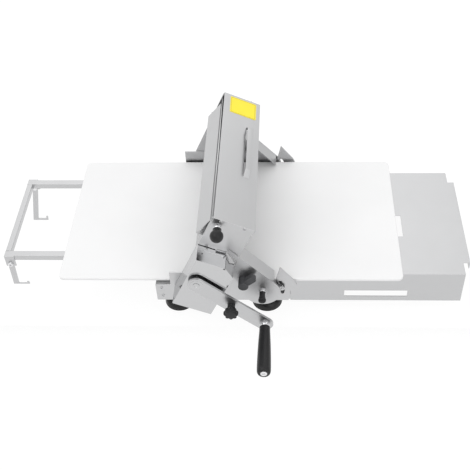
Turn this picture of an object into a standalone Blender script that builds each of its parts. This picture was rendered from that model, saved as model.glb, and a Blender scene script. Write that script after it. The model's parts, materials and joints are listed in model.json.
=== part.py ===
"""A hand-cranked dough sheeter: a board slides between two rollers under a tilting head.

The machine's own frame has x along the board with zero at the lower roller, y across it with
zero at the board's middle and minus towards the crank, and z up from the bench. One empty
carries every piece, so that the world's origin lies under the middle of the whole machine.
Lengths are in metres, angles in degrees where their name says so.
"""

import math

import bmesh
import bpy
from mathutils import Matrix, Vector

# Clearances and sheet
SEAT_GAP = 0.0003
SLIDE_GAP = 0.0005
OVERRUN = 0.004
SHEET = 0.0015

# Board
BOARD_LENGTH = 0.725
BOARD_DEPTH = 0.380
BOARD_THICK = 0.006
BOARD_CORNER = 0.012
BOARD_LEFT = -0.3105
BOARD_SIDE_ROOM = 0.005
TABLE_HEIGHT = 0.112

# How far things lie above or below the table's height
PAN_DROP = 0.034
SIDE_DROP = 0.051
SIDE_RISE = 0.034
SIDE_STEP_DROP = 0.004
SPACER_BAR_DROP = 0.037
LEG_BOLT_DROP = 0.022
TOWER_FOOT_DROP = 0.0052
PIVOT_DROP = 0.015
WING_RISE = 0.025

# Rollers
LOWER_ROLLER_R = 0.015
UPPER_ROLLER_R = 0.022
DOUGH_GAP = 0.003
JOURNAL_R = 0.005
BUSH_R = 0.008
BUSH_FLANGE_R = 0.011
BUSH_FLANGE_THICK = 0.0022
ROLLER_END_ROOM = 0.0005

# Layers of plate at each side, from the board outwards
SIDE_THICK = 0.003
TOWER_THICK = 0.0025
HEAD_THICK = 0.003
BRACE_THICK = 0.003
ARM_PLATE_THICK = 0.0025

# Base
BASE_FRONT = -0.170
BASE_BACK = 0.155
BASE_LEFT = -0.108
SIDE_STEP_LEFT = -0.104
SIDE_STEP_RIGHT = -0.072
SPACER_BLOCK_DEPTH = 0.012
CUP_R = 0.033
CUP_HEIGHT = 0.029
CUP_RIM = 0.006
CUP_HOLLOW = 0.007
CUP_NECK_R = 0.012
CUP_DISH_SHARES = (0.6, 0.7)
CUP_LIP_SHARE = 0.4
CUP_FLANK_SHARES = (0.9, 0.38)
CUP_SHOULDER_SHARES = (0.68, 0.8)
CUP_COLLAR_SHARE = 1.15
CUP_XS = (-0.065, 0.129)
CUP_INSET = 0.025
FOOT_BAR_WIDTH = 0.040
FOOT_BAR_THICK = 0.003

# Tray
TRAY_LEFT = 0.180
TRAY_RIGHT = 0.546
TRAY_BOTTOM = 0.029
TAB_LENGTH = 0.0146
TAB_NOTCH = 0.034
TAB_DROP = 0.018
SLOT_LEFT = 0.2955
SLOT_RIGHT = 0.430
SLOT_LOW = 0.0427
SLOT_HIGH = 0.0608
TOP_SLOT_LEFT = 0.409
TOP_SLOT_RIGHT = 0.4265
TOP_SLOT_FRONT = -0.057
TOP_SLOT_BACK = 0.009
SPLICE_LENGTH = 0.090
SPLICE_HEIGHT = 0.030
SPLICE_THICK = 0.002

# Left frame and legs
RAIL_LEFT = -0.445
RAIL_RIGHT = -0.045
RAIL_WIDTH = 0.015
RAIL_HEIGHT = 0.0135
RAIL_FRONT_Y = -0.1105
RAIL_BACK_Y = 0.1245
CROSSBAR_WIDTH = 0.0123
RAIL_SEAT_WIDTH = 0.036
LUG_LENGTH = 0.022
LUG_THICK = 0.0025
LUG_DROP = 0.016
LEG_WIDTH = 0.013
LEG_THICK = 0.0025
LEG_LEAN_OUT = 0.012
LEG_LEAN_IN = 0.018
LEG_FOOT_REACH = 0.020
LEG_FOOT_LIP = 0.010
LEG_FOOT_THICK = 0.004
LEG_BOLT_R = 0.003
LEG_BOLT_HEAD_R = 0.0055
LEG_BOLT_HEAD = 0.005
LEG_NUT = 0.004

# Tower: its own frame leans towards the tray, with u along its foot and w up its side
TOWER_LEAN_DEG = 24.5
TOWER_FOOT_X = -0.0634
TOWER_WIDTH = 0.085
COVER_HEIGHT = 0.142
CHAMFER_U = 0.024
CHAMFER_W = 0.019
RIM_DEPTH = 0.015
COVER_DEPTH = 0.0305
INDEX_TOP_W = 0.221
INDEX_LEFT_U = 0.006
INDEX_RIGHT_U = 0.060

# Drive
CRANK_U = 0.0229
CRANK_W = 0.0821
GEAR_MODULE = 0.002
GEAR_ADDENDUM_SHARE = 0.80
GEAR_DEDENDUM_SHARE = 1.20
GEAR_PRESSURE_DEG = 20.0
GEAR_BACKLASH = 0.00025
GEAR_WIDTH = 0.010
GEAR_TO_TOWER = 0.014
ROLLER_TEETH = 12
IDLER_TEETH = 24
CRANK_TEETH = 18
IDLER_AXLE_R = 0.004
IDLER_AXLE_HEAD_R = 0.007
IDLER_AXLE_HEAD = 0.0025
SHAFT_R = 0.006
SHAFT_BUSH_R = 0.009
SHAFT_BUSH_FLANGE_R = 0.012
CRANK_ARM_GAP = 0.005
CRANK_ARM_THICK = 0.005
CRANK_ARM_WIDTH = 0.035
CRANK_THROW = 0.181
CRANK_ANGLE_DEG = -41.8
HUB_RING_R = 0.0068
HUB_RING_THICK = 0.0018
HUB_RING_DISH_SHARES = (0.5, 0.62)
STAR_KNOB_R = 0.015
STAR_KNOB_THICK = 0.012
STAR_NECK_R = 0.007
STAR_NECK_LENGTH = 0.0145
STAR_SHARES = ((0.90, 0.0), (0.94, 0.2), (0.94, 0.7), (0.80, 1.0))
STAR_LOBES = 8
STAR_LOBE_SHARE = 0.075
STUD_R = 0.003
FERRULE_R = 0.010
FERRULE_LENGTH = 0.007
FERRULE_CONE_SHARES = (0.82, 0.55)
SPINDLE_R = 0.0035
SPINDLE_HEAD_R = 0.008
SPINDLE_HEAD_THICK = 0.002
GRIP_LENGTH = 0.118
GRIP_INNER_R = 0.0115
GRIP_OUTER_R = 0.01425
GRIP_END_ROUND = 0.006
GRIP_LIP_SHARE = 0.9
GRIP_SWELL_SHARES = (0.25, 0.5, 0.75, 0.9)
GRIP_BORE_DEPTH = 0.105
GRIP_CAP_R = 0.007
GRIP_CAP_THICK = 0.004
GRIP_CAP_PROUD = 0.0008
GRIP_CAP_EDGE_SHARE = 0.8

# Head
PIVOT_X = 0.121
HEAD_LOW_W = 0.1435
HEAD_TOP_W = 0.2232
HEAD_WIDTH = 0.087
HEAD_SLOT_U = 0.038
HEAD_SLOT_W = 0.150
HEAD_SLOT_END_W = 0.147
HEAD_SLOT_RAMP = 0.003
HOOD_TOP_W = 0.225
HOOD_LEFT_U = 0.002
HOOD_RIGHT_U = 0.089
HOOD_LEFT_FLANGE = 0.015
HOOD_END_FLANGE = 0.0125
PANEL_TOP_W = 0.203
PANEL_LOW_W = 0.157
PANEL_SPLAY = 0.013
PANEL_TAB = 0.018
STRAP_FRONT = -0.060
STRAP_BACK = 0.106
STRAP_WIDTH = 0.013
STRAP_RISE = 0.012
STRAP_RAMP = 0.014
STRAP_U = 0.064
ARM_LEFT_U = 0.006
ARM_RIGHT_U = 0.060
ARM_FLANGE = 0.020
ARM_FOOT_R = 0.015
TIE_ROD_U = 0.030
TIE_ROD_W = 0.150
TIE_ROD_R = 0.006
SCRAPER_THICK = 0.0015
SCRAPER_LENGTH = 0.038

# Brace
DISC_R = 0.038
BRACE_SLOPE_DEG = 47.5
BRACE_TOP_REACH = 0.138
BRACE_FLANGE_THICK = 0.002
BRACE_FLANGE_DEPTH = 0.036
BRACE_FLANGE_START_U = 0.0885
BRACE_FLANGE_STOP = 0.004
BRACE_SHOULDER_U = 0.0640
BRACE_SHOULDER_W = 0.1460
BRACE_WAIST_U = 0.0870
BRACE_WAIST_W = 0.1330
BRACE_DISC_DEG = 237.0
BRACE_HEEL_SHARES = ((-1.63, 1.47), (-1.37, 0.90))
SIDE_BOUND = 0.0345
PIN_SLOT_R = 0.043
PIN_SLOT_HALF = 0.004
PIN_SLOT_LOW_DEG = -15.0
PIN_SLOT_HIGH_DEG = 30.0
PIN_DEG = 10.0
PIN_R = 0.003
PIN_LINK_HALF = 0.005
PIN_LINK_THICK = 0.002
EAR_NECK = 0.0025
EAR_TOP_SHARES = ((0.86, 1.51), (1.256, 0.977), (1.535, 0.628), (1.674, 0.302))
EAR_LOW_SHARES = ((1.488, -0.07), (1.279, -0.21))
EAR_SHARES = EAR_TOP_SHARES + EAR_LOW_SHARES
PIVOT_BOLT_R = 0.006
PIVOT_BOSS_R = 0.011
PIVOT_HEAD_R = 0.008
PIVOT_HEAD_THICK = 0.0035
PIVOT_SPIGOT_R = 0.003
PIVOT_SPIGOT = 0.010
PIVOT_NUT_R = 0.010
PIVOT_NUT_THICK = 0.004
LOCK_KNOB_R = 0.00825
LOCK_KNOB_LENGTH = 0.021
LOCK_KNOB_SHARES = ((0.70, 0.0), (0.74, 0.35), (1.0, 0.55), (1.0, 0.88), (0.75, 1.0))

# Index plunger and wing knob
PLUNGER_U = 0.0175
PLUNGER_W = 0.2038
PLUNGER_PIN_R = 0.002
INDEX_STEP_DEG = 1.6
INDEX_HOLES = 4
COLLAR_R = 0.008
COLLAR_LENGTH = 0.0075
COLLAR_BORE_R = 0.0045
COLLAR_CONE_SHARES = (0.8, 0.6)
BALL_R = 0.0135
BALL_NECK_R = 0.0065
BALL_NECK_LENGTH = 0.006
BALL_WAIST_SHARE = 0.9
WING_AHEAD = 0.038
WING_HUB_R = 0.0105
WING_HEIGHT = 0.022
WING_LOBE_R = 0.008
WING_REACH = 0.0245
WING_DEG = 41.0
WING_PAD_R = 0.006
WING_HUB_SHARES = ((1.0, 0.9), (0.82, 1.0))
WING_WAIST_SHARE = 0.9
WING_LOBE_SHARES = (0.3, 0.8)

# Fineness of round shapes
FINE = 40
ROUND = 28
SMALL = 20
STAR_SIDES = 48
BALL_STEPS = 9
END_STEPS = 18
SLOT_STEPS = 12
SLOT_END_STEPS = 8
CORNER_STEPS = 10
GRIP_END_STEPS = 3
DISC_STEPS = 52
SHARP_DEG = 35.0

# Plate layers, worked out from the board outwards
SIDE_IN = BOARD_DEPTH / 2 + BOARD_SIDE_ROOM
SIDE_OUT = SIDE_IN + SIDE_THICK
TOWER_IN = SIDE_OUT + SEAT_GAP
TOWER_OUT = TOWER_IN + TOWER_THICK
HEAD_IN = TOWER_OUT + SLIDE_GAP
HEAD_OUT = HEAD_IN + HEAD_THICK
BRACE_IN = HEAD_OUT + SEAT_GAP
BRACE_OUT = BRACE_IN + BRACE_THICK
RIM_IN = TOWER_OUT + SEAT_GAP
RIM_OUT = RIM_IN + RIM_DEPTH
COVER_IN = RIM_OUT + SEAT_GAP
COVER_OUT = COVER_IN + COVER_DEPTH
CRANK_BACK = COVER_OUT + CRANK_ARM_GAP
CRANK_FRONT = CRANK_BACK + CRANK_ARM_THICK
ARM_OUT = SIDE_IN - 2 * SLIDE_GAP
ARM_IN = ARM_OUT - ARM_PLATE_THICK
GEAR_IN = TOWER_OUT + GEAR_TO_TOWER
GEAR_OUT = GEAR_IN + GEAR_WIDTH
HOOD_INNER_END = TOWER_IN - 2 * SLIDE_GAP

# Heights that follow the table, and places that follow the rails and the pivot
PAN_TOP = TABLE_HEIGHT - PAN_DROP
PAN_BOTTOM = CUP_HEIGHT + FOOT_BAR_THICK + 2 * SEAT_GAP
SIDE_BOTTOM = TABLE_HEIGHT - SIDE_DROP
SIDE_TOP = TABLE_HEIGHT + SIDE_RISE
SIDE_STEP_TOP = TABLE_HEIGHT - SIDE_STEP_DROP
SPACER_BAR_TOP = TABLE_HEIGHT - SPACER_BAR_DROP
LEG_BOLT_X = RAIL_LEFT + LUG_LENGTH / 2
LEG_BOLT_Z = TABLE_HEIGHT - LEG_BOLT_DROP
TOWER_FOOT_Z = TABLE_HEIGHT - TOWER_FOOT_DROP
PIVOT_Z = TABLE_HEIGHT - PIVOT_DROP
WING_X = PIVOT_X - WING_AHEAD
WING_Z = TABLE_HEIGHT + WING_RISE
BOARD_UNDER = TABLE_HEIGHT + SEAT_GAP
BOARD_TOP = BOARD_UNDER + BOARD_THICK
LOWER_ROLLER_Z = TABLE_HEIGHT - LOWER_ROLLER_R
UPPER_ROLLER_Z = BOARD_TOP + DOUGH_GAP + UPPER_ROLLER_R


def tower_point(u, w):
    """The x and z of a place on the leaning tower."""
    lean = math.radians(TOWER_LEAN_DEG)
    x = TOWER_FOOT_X + u * math.cos(lean) + w * math.sin(lean)
    z = TOWER_FOOT_Z - u * math.sin(lean) + w * math.cos(lean)
    return (x, z)


def tower_place(x, z):
    """The u and w of a place given by x and z."""
    lean = math.radians(TOWER_LEAN_DEG)
    across = x - TOWER_FOOT_X
    up = z - TOWER_FOOT_Z
    return (across * math.cos(lean) - up * math.sin(lean), across * math.sin(lean) + up * math.cos(lean))


def around(centre, radius, degrees):
    """The point at this distance and angle from a centre, in the x and z plane."""
    angle = math.radians(degrees)
    return (centre[0] + radius * math.cos(angle), centre[1] + radius * math.sin(angle))


def arc(centre, radius, start_deg, stop_deg, steps):
    """Points along an arc, both ends included."""
    return [around(centre, radius, start_deg + (stop_deg - start_deg) * i / steps) for i in range(steps + 1)]


PIVOT = (PIVOT_X, PIVOT_Z)
WING = (WING_X, WING_Z)
CRANK_AXIS = tower_point(CRANK_U, CRANK_W)
LOWER_AXIS = (0.0, LOWER_ROLLER_Z)
UPPER_AXIS = (0.0, UPPER_ROLLER_Z)
PLUNGER = tower_point(PLUNGER_U, PLUNGER_W)
GRIP_AXIS = around(CRANK_AXIS, CRANK_THROW, CRANK_ANGLE_DEG)
STAR_AXIS = around(CRANK_AXIS, CRANK_THROW / 2, CRANK_ANGLE_DEG)


def idler_centre():
    """Where the idler meshes with both the roller's gear and the crank's."""
    to_crank = GEAR_MODULE * (CRANK_TEETH + IDLER_TEETH) / 2
    to_roller = GEAR_MODULE * (ROLLER_TEETH + IDLER_TEETH) / 2
    line = Vector(LOWER_AXIS) - Vector(CRANK_AXIS)
    span = line.length
    along = (to_crank**2 - to_roller**2 + span**2) / (2 * span)
    aside = math.sqrt(to_crank**2 - along**2)
    ahead = line.normalized()
    centre = Vector(CRANK_AXIS) + ahead * along + Vector((-ahead.y, ahead.x)) * aside
    return (centre.x, centre.y)


IDLER_AXIS = idler_centre()

# The world's origin, under the middle of the whole machine
LEFT_END = LEG_BOLT_X - LEG_LEAN_OUT - LEG_WIDTH / 2
RIGHT_END = TRAY_RIGHT + TAB_LENGTH
GRIP_START = CRANK_FRONT + 2 * SEAT_GAP + FERRULE_LENGTH
FRONT_END = -(GRIP_START + GRIP_LENGTH + GRIP_CAP_PROUD)
BACK_END = BRACE_OUT + SEAT_GAP + PIVOT_HEAD_THICK
MIDDLE_X = (LEFT_END + RIGHT_END) / 2
MIDDLE_Y = (FRONT_END + BACK_END) / 2


def clear_scene():
    for obj in list(bpy.data.objects):
        bpy.data.objects.remove(obj)


def finish(name, colour, metallic, roughness):
    material = bpy.data.materials.new(name)
    material.use_nodes = True
    shader = material.node_tree.nodes["Principled BSDF"]
    shader.inputs["Base Color"].default_value = (*colour, 1.0)
    shader.inputs["Metallic"].default_value = metallic
    shader.inputs["Roughness"].default_value = roughness
    return material


clear_scene()
STEEL = finish("brushed_stainless", (0.66, 0.66, 0.65), 1.0, 0.32)
BRIGHT = finish("polished_chrome", (0.78, 0.78, 0.78), 1.0, 0.12)
WHITE = finish("white_board_plastic", (0.85, 0.85, 0.84), 0.0, 0.45)
BLACK = finish("black_plastic", (0.015, 0.015, 0.016), 0.0, 0.35)
GREY = finish("dark_grey_plastic", (0.06, 0.062, 0.065), 0.0, 0.45)
RUBBER = finish("black_rubber", (0.012, 0.012, 0.012), 0.0, 0.6)
BRONZE = finish("bearing_bronze", (0.45, 0.30, 0.14), 1.0, 0.4)

MACHINE = bpy.data.objects.new("machine", None)
MACHINE.location = (-MIDDLE_X, -MIDDLE_Y, 0.0)
bpy.context.scene.collection.objects.link(MACHINE)


def xz(a, b, depth):
    return Vector((a, depth, b))


def yz(a, b, depth):
    return Vector((depth, a, b))


def xy(a, b, depth):
    return Vector((a, b, depth))


def prism(outline, low, high, plane):
    """A closed shape with this outline in one plane, from low to high across it."""
    shape = bmesh.new()
    below = [shape.verts.new(plane(a, b, low)) for a, b in outline]
    above = [shape.verts.new(plane(a, b, high)) for a, b in outline]
    shape.faces.new(below)
    shape.faces.new(above)
    for i in range(len(outline)):
        j = (i + 1) % len(outline)
        shape.faces.new((below[i], below[j], above[j], above[i]))
    bmesh.ops.recalc_face_normals(shape, faces=shape.faces)
    return shape


def block(x_span, y_span, z_span):
    """A plain block between two values on each axis."""
    corners = [(x_span[0], z_span[0]), (x_span[1], z_span[0]), (x_span[1], z_span[1]), (x_span[0], z_span[1])]
    return prism(corners, y_span[0], y_span[1], xz)


def turned(profile, centre, plane, sides, lobes=0, lobe_share=0.0, ring=False):
    """A shape turned about an axis through centre, square to the plane.

    The profile's points are a radius and a distance along the axis. A ring's profile closes on itself.
    """
    shape = bmesh.new()
    rings = []
    for radius, along in profile:
        if radius <= 0.0:
            rings.append([shape.verts.new(plane(centre[0], centre[1], along))])
            continue
        points = []
        for i in range(sides):
            angle = 2 * math.pi * i / sides
            reach = radius * (1.0 + lobe_share * math.cos(lobes * angle))
            a = centre[0] + reach * math.cos(angle)
            b = centre[1] + reach * math.sin(angle)
            points.append(shape.verts.new(plane(a, b, along)))
        rings.append(points)
    pairs = list(zip(rings, rings[1:]))
    if ring:
        pairs.append((rings[-1], rings[0]))
    for first, second in pairs:
        for i in range(sides):
            j = (i + 1) % sides
            corners = [first[i % len(first)], first[j % len(first)]]
            corners += [second[j % len(second)], second[i % len(second)]]
            unique = list(dict.fromkeys(corners))
            shape.faces.new(unique)
    if not ring:
        for end in (rings[0], rings[-1]):
            if len(end) > 1:
                shape.faces.new(end)
    bmesh.ops.recalc_face_normals(shape, faces=shape.faces)
    return shape


def rod(centre, radius, low, high, plane=xz, sides=SMALL):
    return turned([(radius, low), (radius, high)], centre, plane, sides)


def add(name, shape, material, origin=(0.0, 0.0, 0.0), smooth=False):
    """Makes the node of this name, with its origin at a place that it turns or slides about."""
    shape.transform(Matrix.Translation(-Vector(origin)))
    mesh = bpy.data.meshes.new(name)
    shape.to_mesh(mesh)
    shape.free()
    mesh.materials.append(material)
    obj = bpy.data.objects.new(name, mesh)
    obj.location = origin
    obj.parent = MACHINE
    bpy.context.scene.collection.objects.link(obj)
    if smooth:
        mesh.shade_smooth()
        mesh.set_sharp_from_angle(angle=math.radians(SHARP_DEG))
    return obj


def helper(target, shapes):
    """One hidden object that holds these shapes, for a Boolean."""
    mesh = bpy.data.meshes.new("helper")
    joined = bmesh.new()
    for shape in shapes:
        piece = bpy.data.meshes.new("piece")
        shape.to_mesh(piece)
        shape.free()
        joined.from_mesh(piece)
        bpy.data.meshes.remove(piece)
    joined.to_mesh(mesh)
    joined.free()
    obj = bpy.data.objects.new(f"{target.name}_helper", mesh)
    obj.parent = MACHINE
    obj.hide_render = True
    obj.display_type = "WIRE"
    bpy.context.scene.collection.objects.link(obj)
    obj.hide_set(True)
    return obj


def cut(target, *shapes):
    modifier = target.modifiers.new("cut", "BOOLEAN")
    modifier.operation = "DIFFERENCE"
    modifier.solver = "EXACT"
    modifier.object = helper(target, shapes)


def join(target, *shapes):
    for shape in shapes:
        modifier = target.modifiers.new("join", "BOOLEAN")
        modifier.operation = "UNION"
        modifier.solver = "EXACT"
        modifier.object = helper(target, [shape])


def hole(centre, radius, low, high, plane=xz):
    """A cutter for a round hole, a little longer than the wall at both ends."""
    return rod(centre, radius, low - OVERRUN, high + OVERRUN, plane)


def spans(side, near, far):
    """Low and high y of a layer on one side, -1 the crank's side and +1 the other."""
    return tuple(sorted((side * near, side * far)))


def mirror_profile(profile, side):
    return [(radius, side * along) for radius, along in profile]


SIDES = (("front", -1), ("back", 1))


def base_pan():
    top = PAN_TOP
    inner_top = PAN_TOP - SHEET
    outline = [(BASE_FRONT, PAN_BOTTOM), (BASE_FRONT, top), (BASE_BACK, top), (BASE_BACK, PAN_BOTTOM)]
    outline += [(BASE_BACK - SHEET, PAN_BOTTOM), (BASE_BACK - SHEET, inner_top)]
    outline += [(BASE_FRONT + SHEET, inner_top), (BASE_FRONT + SHEET, PAN_BOTTOM)]
    add("base_pan", prism(outline, BASE_LEFT, TRAY_LEFT - SEAT_GAP, yz), STEEL)


def foot_bars():
    low = CUP_HEIGHT + SEAT_GAP
    for name, x in zip(("left", "right"), CUP_XS):
        across = (x - FOOT_BAR_WIDTH / 2, x + FOOT_BAR_WIDTH / 2)
        bar = block(across, (BASE_FRONT, BASE_BACK), (low, low + FOOT_BAR_THICK))
        add(f"foot_bar_{name}", bar, STEEL)


def suction_cups():
    crown = CUP_HEIGHT - CUP_HOLLOW
    dish = (CUP_R * CUP_DISH_SHARES[0], CUP_HOLLOW * CUP_DISH_SHARES[1])
    flank = (CUP_R * CUP_FLANK_SHARES[0], CUP_HEIGHT * CUP_FLANK_SHARES[1])
    shoulder = (CUP_R * CUP_SHOULDER_SHARES[0], crown * CUP_SHOULDER_SHARES[1])
    profile = [(0.0, CUP_HOLLOW), dish, (CUP_R - CUP_RIM, 0.0), (CUP_R, 0.0)]
    profile += [(CUP_R, CUP_RIM * CUP_LIP_SHARE), flank, shoulder]
    profile += [(CUP_NECK_R * CUP_COLLAR_SHARE, crown), (CUP_NECK_R, CUP_HEIGHT), (0.0, CUP_HEIGHT)]
    for end, x in zip(("left", "right"), CUP_XS):
        for name, y in (("front", BASE_FRONT + CUP_INSET), ("back", BASE_BACK - CUP_INSET)):
            place = (x, y, 0.0)
            cup = turned(profile, (x, y), xy, ROUND)
            add(f"suction_cup_{name}_{end}", cup, RUBBER, place, smooth=True)


def side_outline():
    """The side plate: a step at its left, a long top edge, a bound under the brace and an ear."""
    normal_deg = 90.0 - BRACE_SLOPE_DEG
    slope = math.radians(BRACE_SLOPE_DEG)
    bound = around(PIVOT, SIDE_BOUND, normal_deg)
    along = (-math.cos(slope), math.sin(slope))
    reach = (SIDE_TOP - bound[1]) / along[1]
    outline = [(SIDE_STEP_LEFT, SIDE_BOTTOM), (SIDE_STEP_LEFT, SIDE_STEP_TOP)]
    outline += [(SIDE_STEP_RIGHT, SIDE_STEP_TOP), (SIDE_STEP_RIGHT, SIDE_TOP)]
    outline.append((bound[0] + along[0] * reach, SIDE_TOP))
    outline.append((bound[0] - along[0] * EAR_NECK, bound[1] - along[1] * EAR_NECK))
    outline += [(PIVOT_X + a * PIN_SLOT_R, PIVOT_Z + b * PIN_SLOT_R) for a, b in EAR_SHARES]
    outline.append((PIVOT_X + EAR_SHARES[-1][0] * PIN_SLOT_R, SIDE_BOTTOM))
    return outline


def pin_slot(low, high):
    """A cutter for the slot that the guide pin runs in, an arc about the head's pivot."""
    outline = arc(PIVOT, PIN_SLOT_R + PIN_SLOT_HALF, PIN_SLOT_LOW_DEG, PIN_SLOT_HIGH_DEG, SLOT_STEPS)
    end = around(PIVOT, PIN_SLOT_R, PIN_SLOT_HIGH_DEG)
    outline += arc(end, PIN_SLOT_HALF, PIN_SLOT_HIGH_DEG, PIN_SLOT_HIGH_DEG + 180.0, SLOT_END_STEPS)[1:-1]
    outline += arc(PIVOT, PIN_SLOT_R - PIN_SLOT_HALF, PIN_SLOT_HIGH_DEG, PIN_SLOT_LOW_DEG, SLOT_STEPS)
    start = around(PIVOT, PIN_SLOT_R, PIN_SLOT_LOW_DEG)
    low_end = arc(start, PIN_SLOT_HALF, PIN_SLOT_LOW_DEG + 180.0, PIN_SLOT_LOW_DEG + 360.0, SLOT_END_STEPS)
    outline += low_end[1:-1]
    return prism(outline, low - OVERRUN, high + OVERRUN, xz)


def side_plates():
    for name, side in SIDES:
        low, high = spans(side, SIDE_IN, SIDE_OUT)
        plate = add(f"side_plate_{name}", prism(side_outline(), low, high, xz), STEEL)
        cut(plate, hole(LOWER_AXIS, BUSH_R + SEAT_GAP, low, high))
        cut(plate, hole(PIVOT, PIVOT_BOLT_R + SEAT_GAP, low, high))
        cut(plate, pin_slot(low, high))


def side_spacers():
    """Bars that carry the side plates off the pan, each with a block up under the plate's step."""
    for name, side in SIDES:
        pan_side = -BASE_FRONT if side < 0 else BASE_BACK
        low, high = spans(side, pan_side + SEAT_GAP, SIDE_IN - SEAT_GAP)
        right = PIVOT_X + EAR_SHARES[-1][0] * PIN_SLOT_R - SEAT_GAP
        bar = block((SIDE_STEP_LEFT, right), (low, high), (SIDE_BOTTOM, SPACER_BAR_TOP))
        spacer = add(f"side_spacer_{name}", bar, GREY)
        block_low, block_high = spans(side, SIDE_IN - SEAT_GAP - SPACER_BLOCK_DEPTH, SIDE_IN - SEAT_GAP)
        step = (SIDE_STEP_LEFT, SIDE_STEP_RIGHT)
        join(spacer, block(step, (block_low, block_high), (SPACER_BAR_TOP - OVERRUN, SIDE_STEP_TOP)))


def cover_outline(inset):
    """The gear cover's outline on the tower, drawn in by a wall."""
    run = CHAMFER_W / math.hypot(CHAMFER_U, CHAMFER_W)
    rise = CHAMFER_U / math.hypot(CHAMFER_U, CHAMFER_W)
    side_cut = inset * (1.0 - run) / rise
    top_cut = inset * (1.0 - rise) / run
    points = [(inset, inset), (TOWER_WIDTH - inset, inset)]
    points.append((TOWER_WIDTH - inset, COVER_HEIGHT - CHAMFER_W - side_cut))
    points.append((TOWER_WIDTH - CHAMFER_U - top_cut, COVER_HEIGHT - inset))
    points.append((inset, COVER_HEIGHT - inset))
    return [tower_point(u, w) for u, w in points]


def tower_outline():
    """The cover's outline with the index sector standing above it."""
    points = [(0.0, 0.0), (TOWER_WIDTH, 0.0), (TOWER_WIDTH, COVER_HEIGHT - CHAMFER_W)]
    points.append((TOWER_WIDTH - CHAMFER_U, COVER_HEIGHT))
    points += [(INDEX_RIGHT_U, COVER_HEIGHT), (INDEX_RIGHT_U, INDEX_TOP_W)]
    points += [(INDEX_LEFT_U, INDEX_TOP_W), (INDEX_LEFT_U, COVER_HEIGHT), (0.0, COVER_HEIGHT)]
    return [tower_point(u, w) for u, w in points]


def turned_about_pivot(point, degrees):
    """Where the head carries a point when it swings up by this angle."""
    angle = math.radians(-degrees)
    across = point[0] - PIVOT_X
    up = point[1] - PIVOT_Z
    x = PIVOT_X + across * math.cos(angle) - up * math.sin(angle)
    z = PIVOT_Z + across * math.sin(angle) + up * math.cos(angle)
    return (x, z)


def tower_plates():
    for name, side in SIDES:
        low, high = spans(side, TOWER_IN, TOWER_OUT)
        plate = add(f"tower_plate_{name}", prism(tower_outline(), low, high, xz), STEEL)
        cut(plate, hole(LOWER_AXIS, BUSH_R + SEAT_GAP, low, high))
        if side < 0:
            cut(plate, hole(CRANK_AXIS, SHAFT_BUSH_R + SEAT_GAP, low, high))
            cut(plate, hole(IDLER_AXIS, IDLER_AXLE_R + SEAT_GAP, low, high))
            for i in range(INDEX_HOLES):
                place = turned_about_pivot(PLUNGER, i * INDEX_STEP_DEG)
                cut(plate, hole(place, PLUNGER_PIN_R + SEAT_GAP, low, high))


def gear_case():
    """The rim folded forward from the tower, and the cover that closes the gear train."""
    low, high = spans(-1, RIM_IN, RIM_OUT)
    rim = add("cover_rim", prism(cover_outline(0.0), low, high, xz), STEEL)
    cut(rim, prism(cover_outline(SHEET), low - OVERRUN, high + OVERRUN, xz))
    low, high = spans(-1, COVER_IN, COVER_OUT)
    cover = add("gear_cover", prism(cover_outline(0.0), low, high, xz), STEEL)
    cut(cover, prism(cover_outline(SHEET), low + SHEET, high + OVERRUN, xz))
    cut(cover, hole(CRANK_AXIS, SHAFT_R + 2 * SLIDE_GAP, low, low + SHEET))


def idler_axle():
    end = GEAR_OUT + SLIDE_GAP
    head = end + IDLER_AXLE_HEAD
    profile = [(IDLER_AXLE_R, TOWER_IN), (IDLER_AXLE_R, TOWER_OUT + SEAT_GAP)]
    profile += [(IDLER_AXLE_HEAD_R, TOWER_OUT + SEAT_GAP), (IDLER_AXLE_HEAD_R, GEAR_IN - SLIDE_GAP)]
    profile += [(IDLER_AXLE_R, GEAR_IN - SLIDE_GAP), (IDLER_AXLE_R, end)]
    profile += [(IDLER_AXLE_HEAD_R, end), (IDLER_AXLE_HEAD_R, head)]
    axle = turned(mirror_profile(profile, -1), IDLER_AXIS, xz, SMALL)
    add("idler_axle", axle, STEEL, smooth=True)


def bushings():
    flange_in = SIDE_IN - SEAT_GAP - BUSH_FLANGE_THICK
    for name, side in SIDES:
        profile = [(JOURNAL_R + SEAT_GAP, flange_in), (BUSH_FLANGE_R, flange_in)]
        profile += [(BUSH_FLANGE_R, SIDE_IN - SEAT_GAP), (BUSH_R, SIDE_IN - SEAT_GAP)]
        profile += [(BUSH_R, TOWER_OUT), (JOURNAL_R + SEAT_GAP, TOWER_OUT)]
        bush = turned(mirror_profile(profile, side), LOWER_AXIS, xz, ROUND, ring=True)
        add(f"roller_bushing_{name}", bush, BRONZE, smooth=True)
    inner = SHAFT_R + SEAT_GAP
    flange_out = TOWER_OUT + SEAT_GAP + BUSH_FLANGE_THICK
    profile = [(inner, TOWER_IN), (SHAFT_BUSH_R, TOWER_IN), (SHAFT_BUSH_R, TOWER_OUT + SEAT_GAP)]
    profile += [(SHAFT_BUSH_FLANGE_R, TOWER_OUT + SEAT_GAP), (SHAFT_BUSH_FLANGE_R, flange_out)]
    profile += [(inner, flange_out)]
    bush = turned(mirror_profile(profile, -1), CRANK_AXIS, xz, ROUND, ring=True)
    add("crank_bushing", bush, BRONZE, smooth=True)


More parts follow.
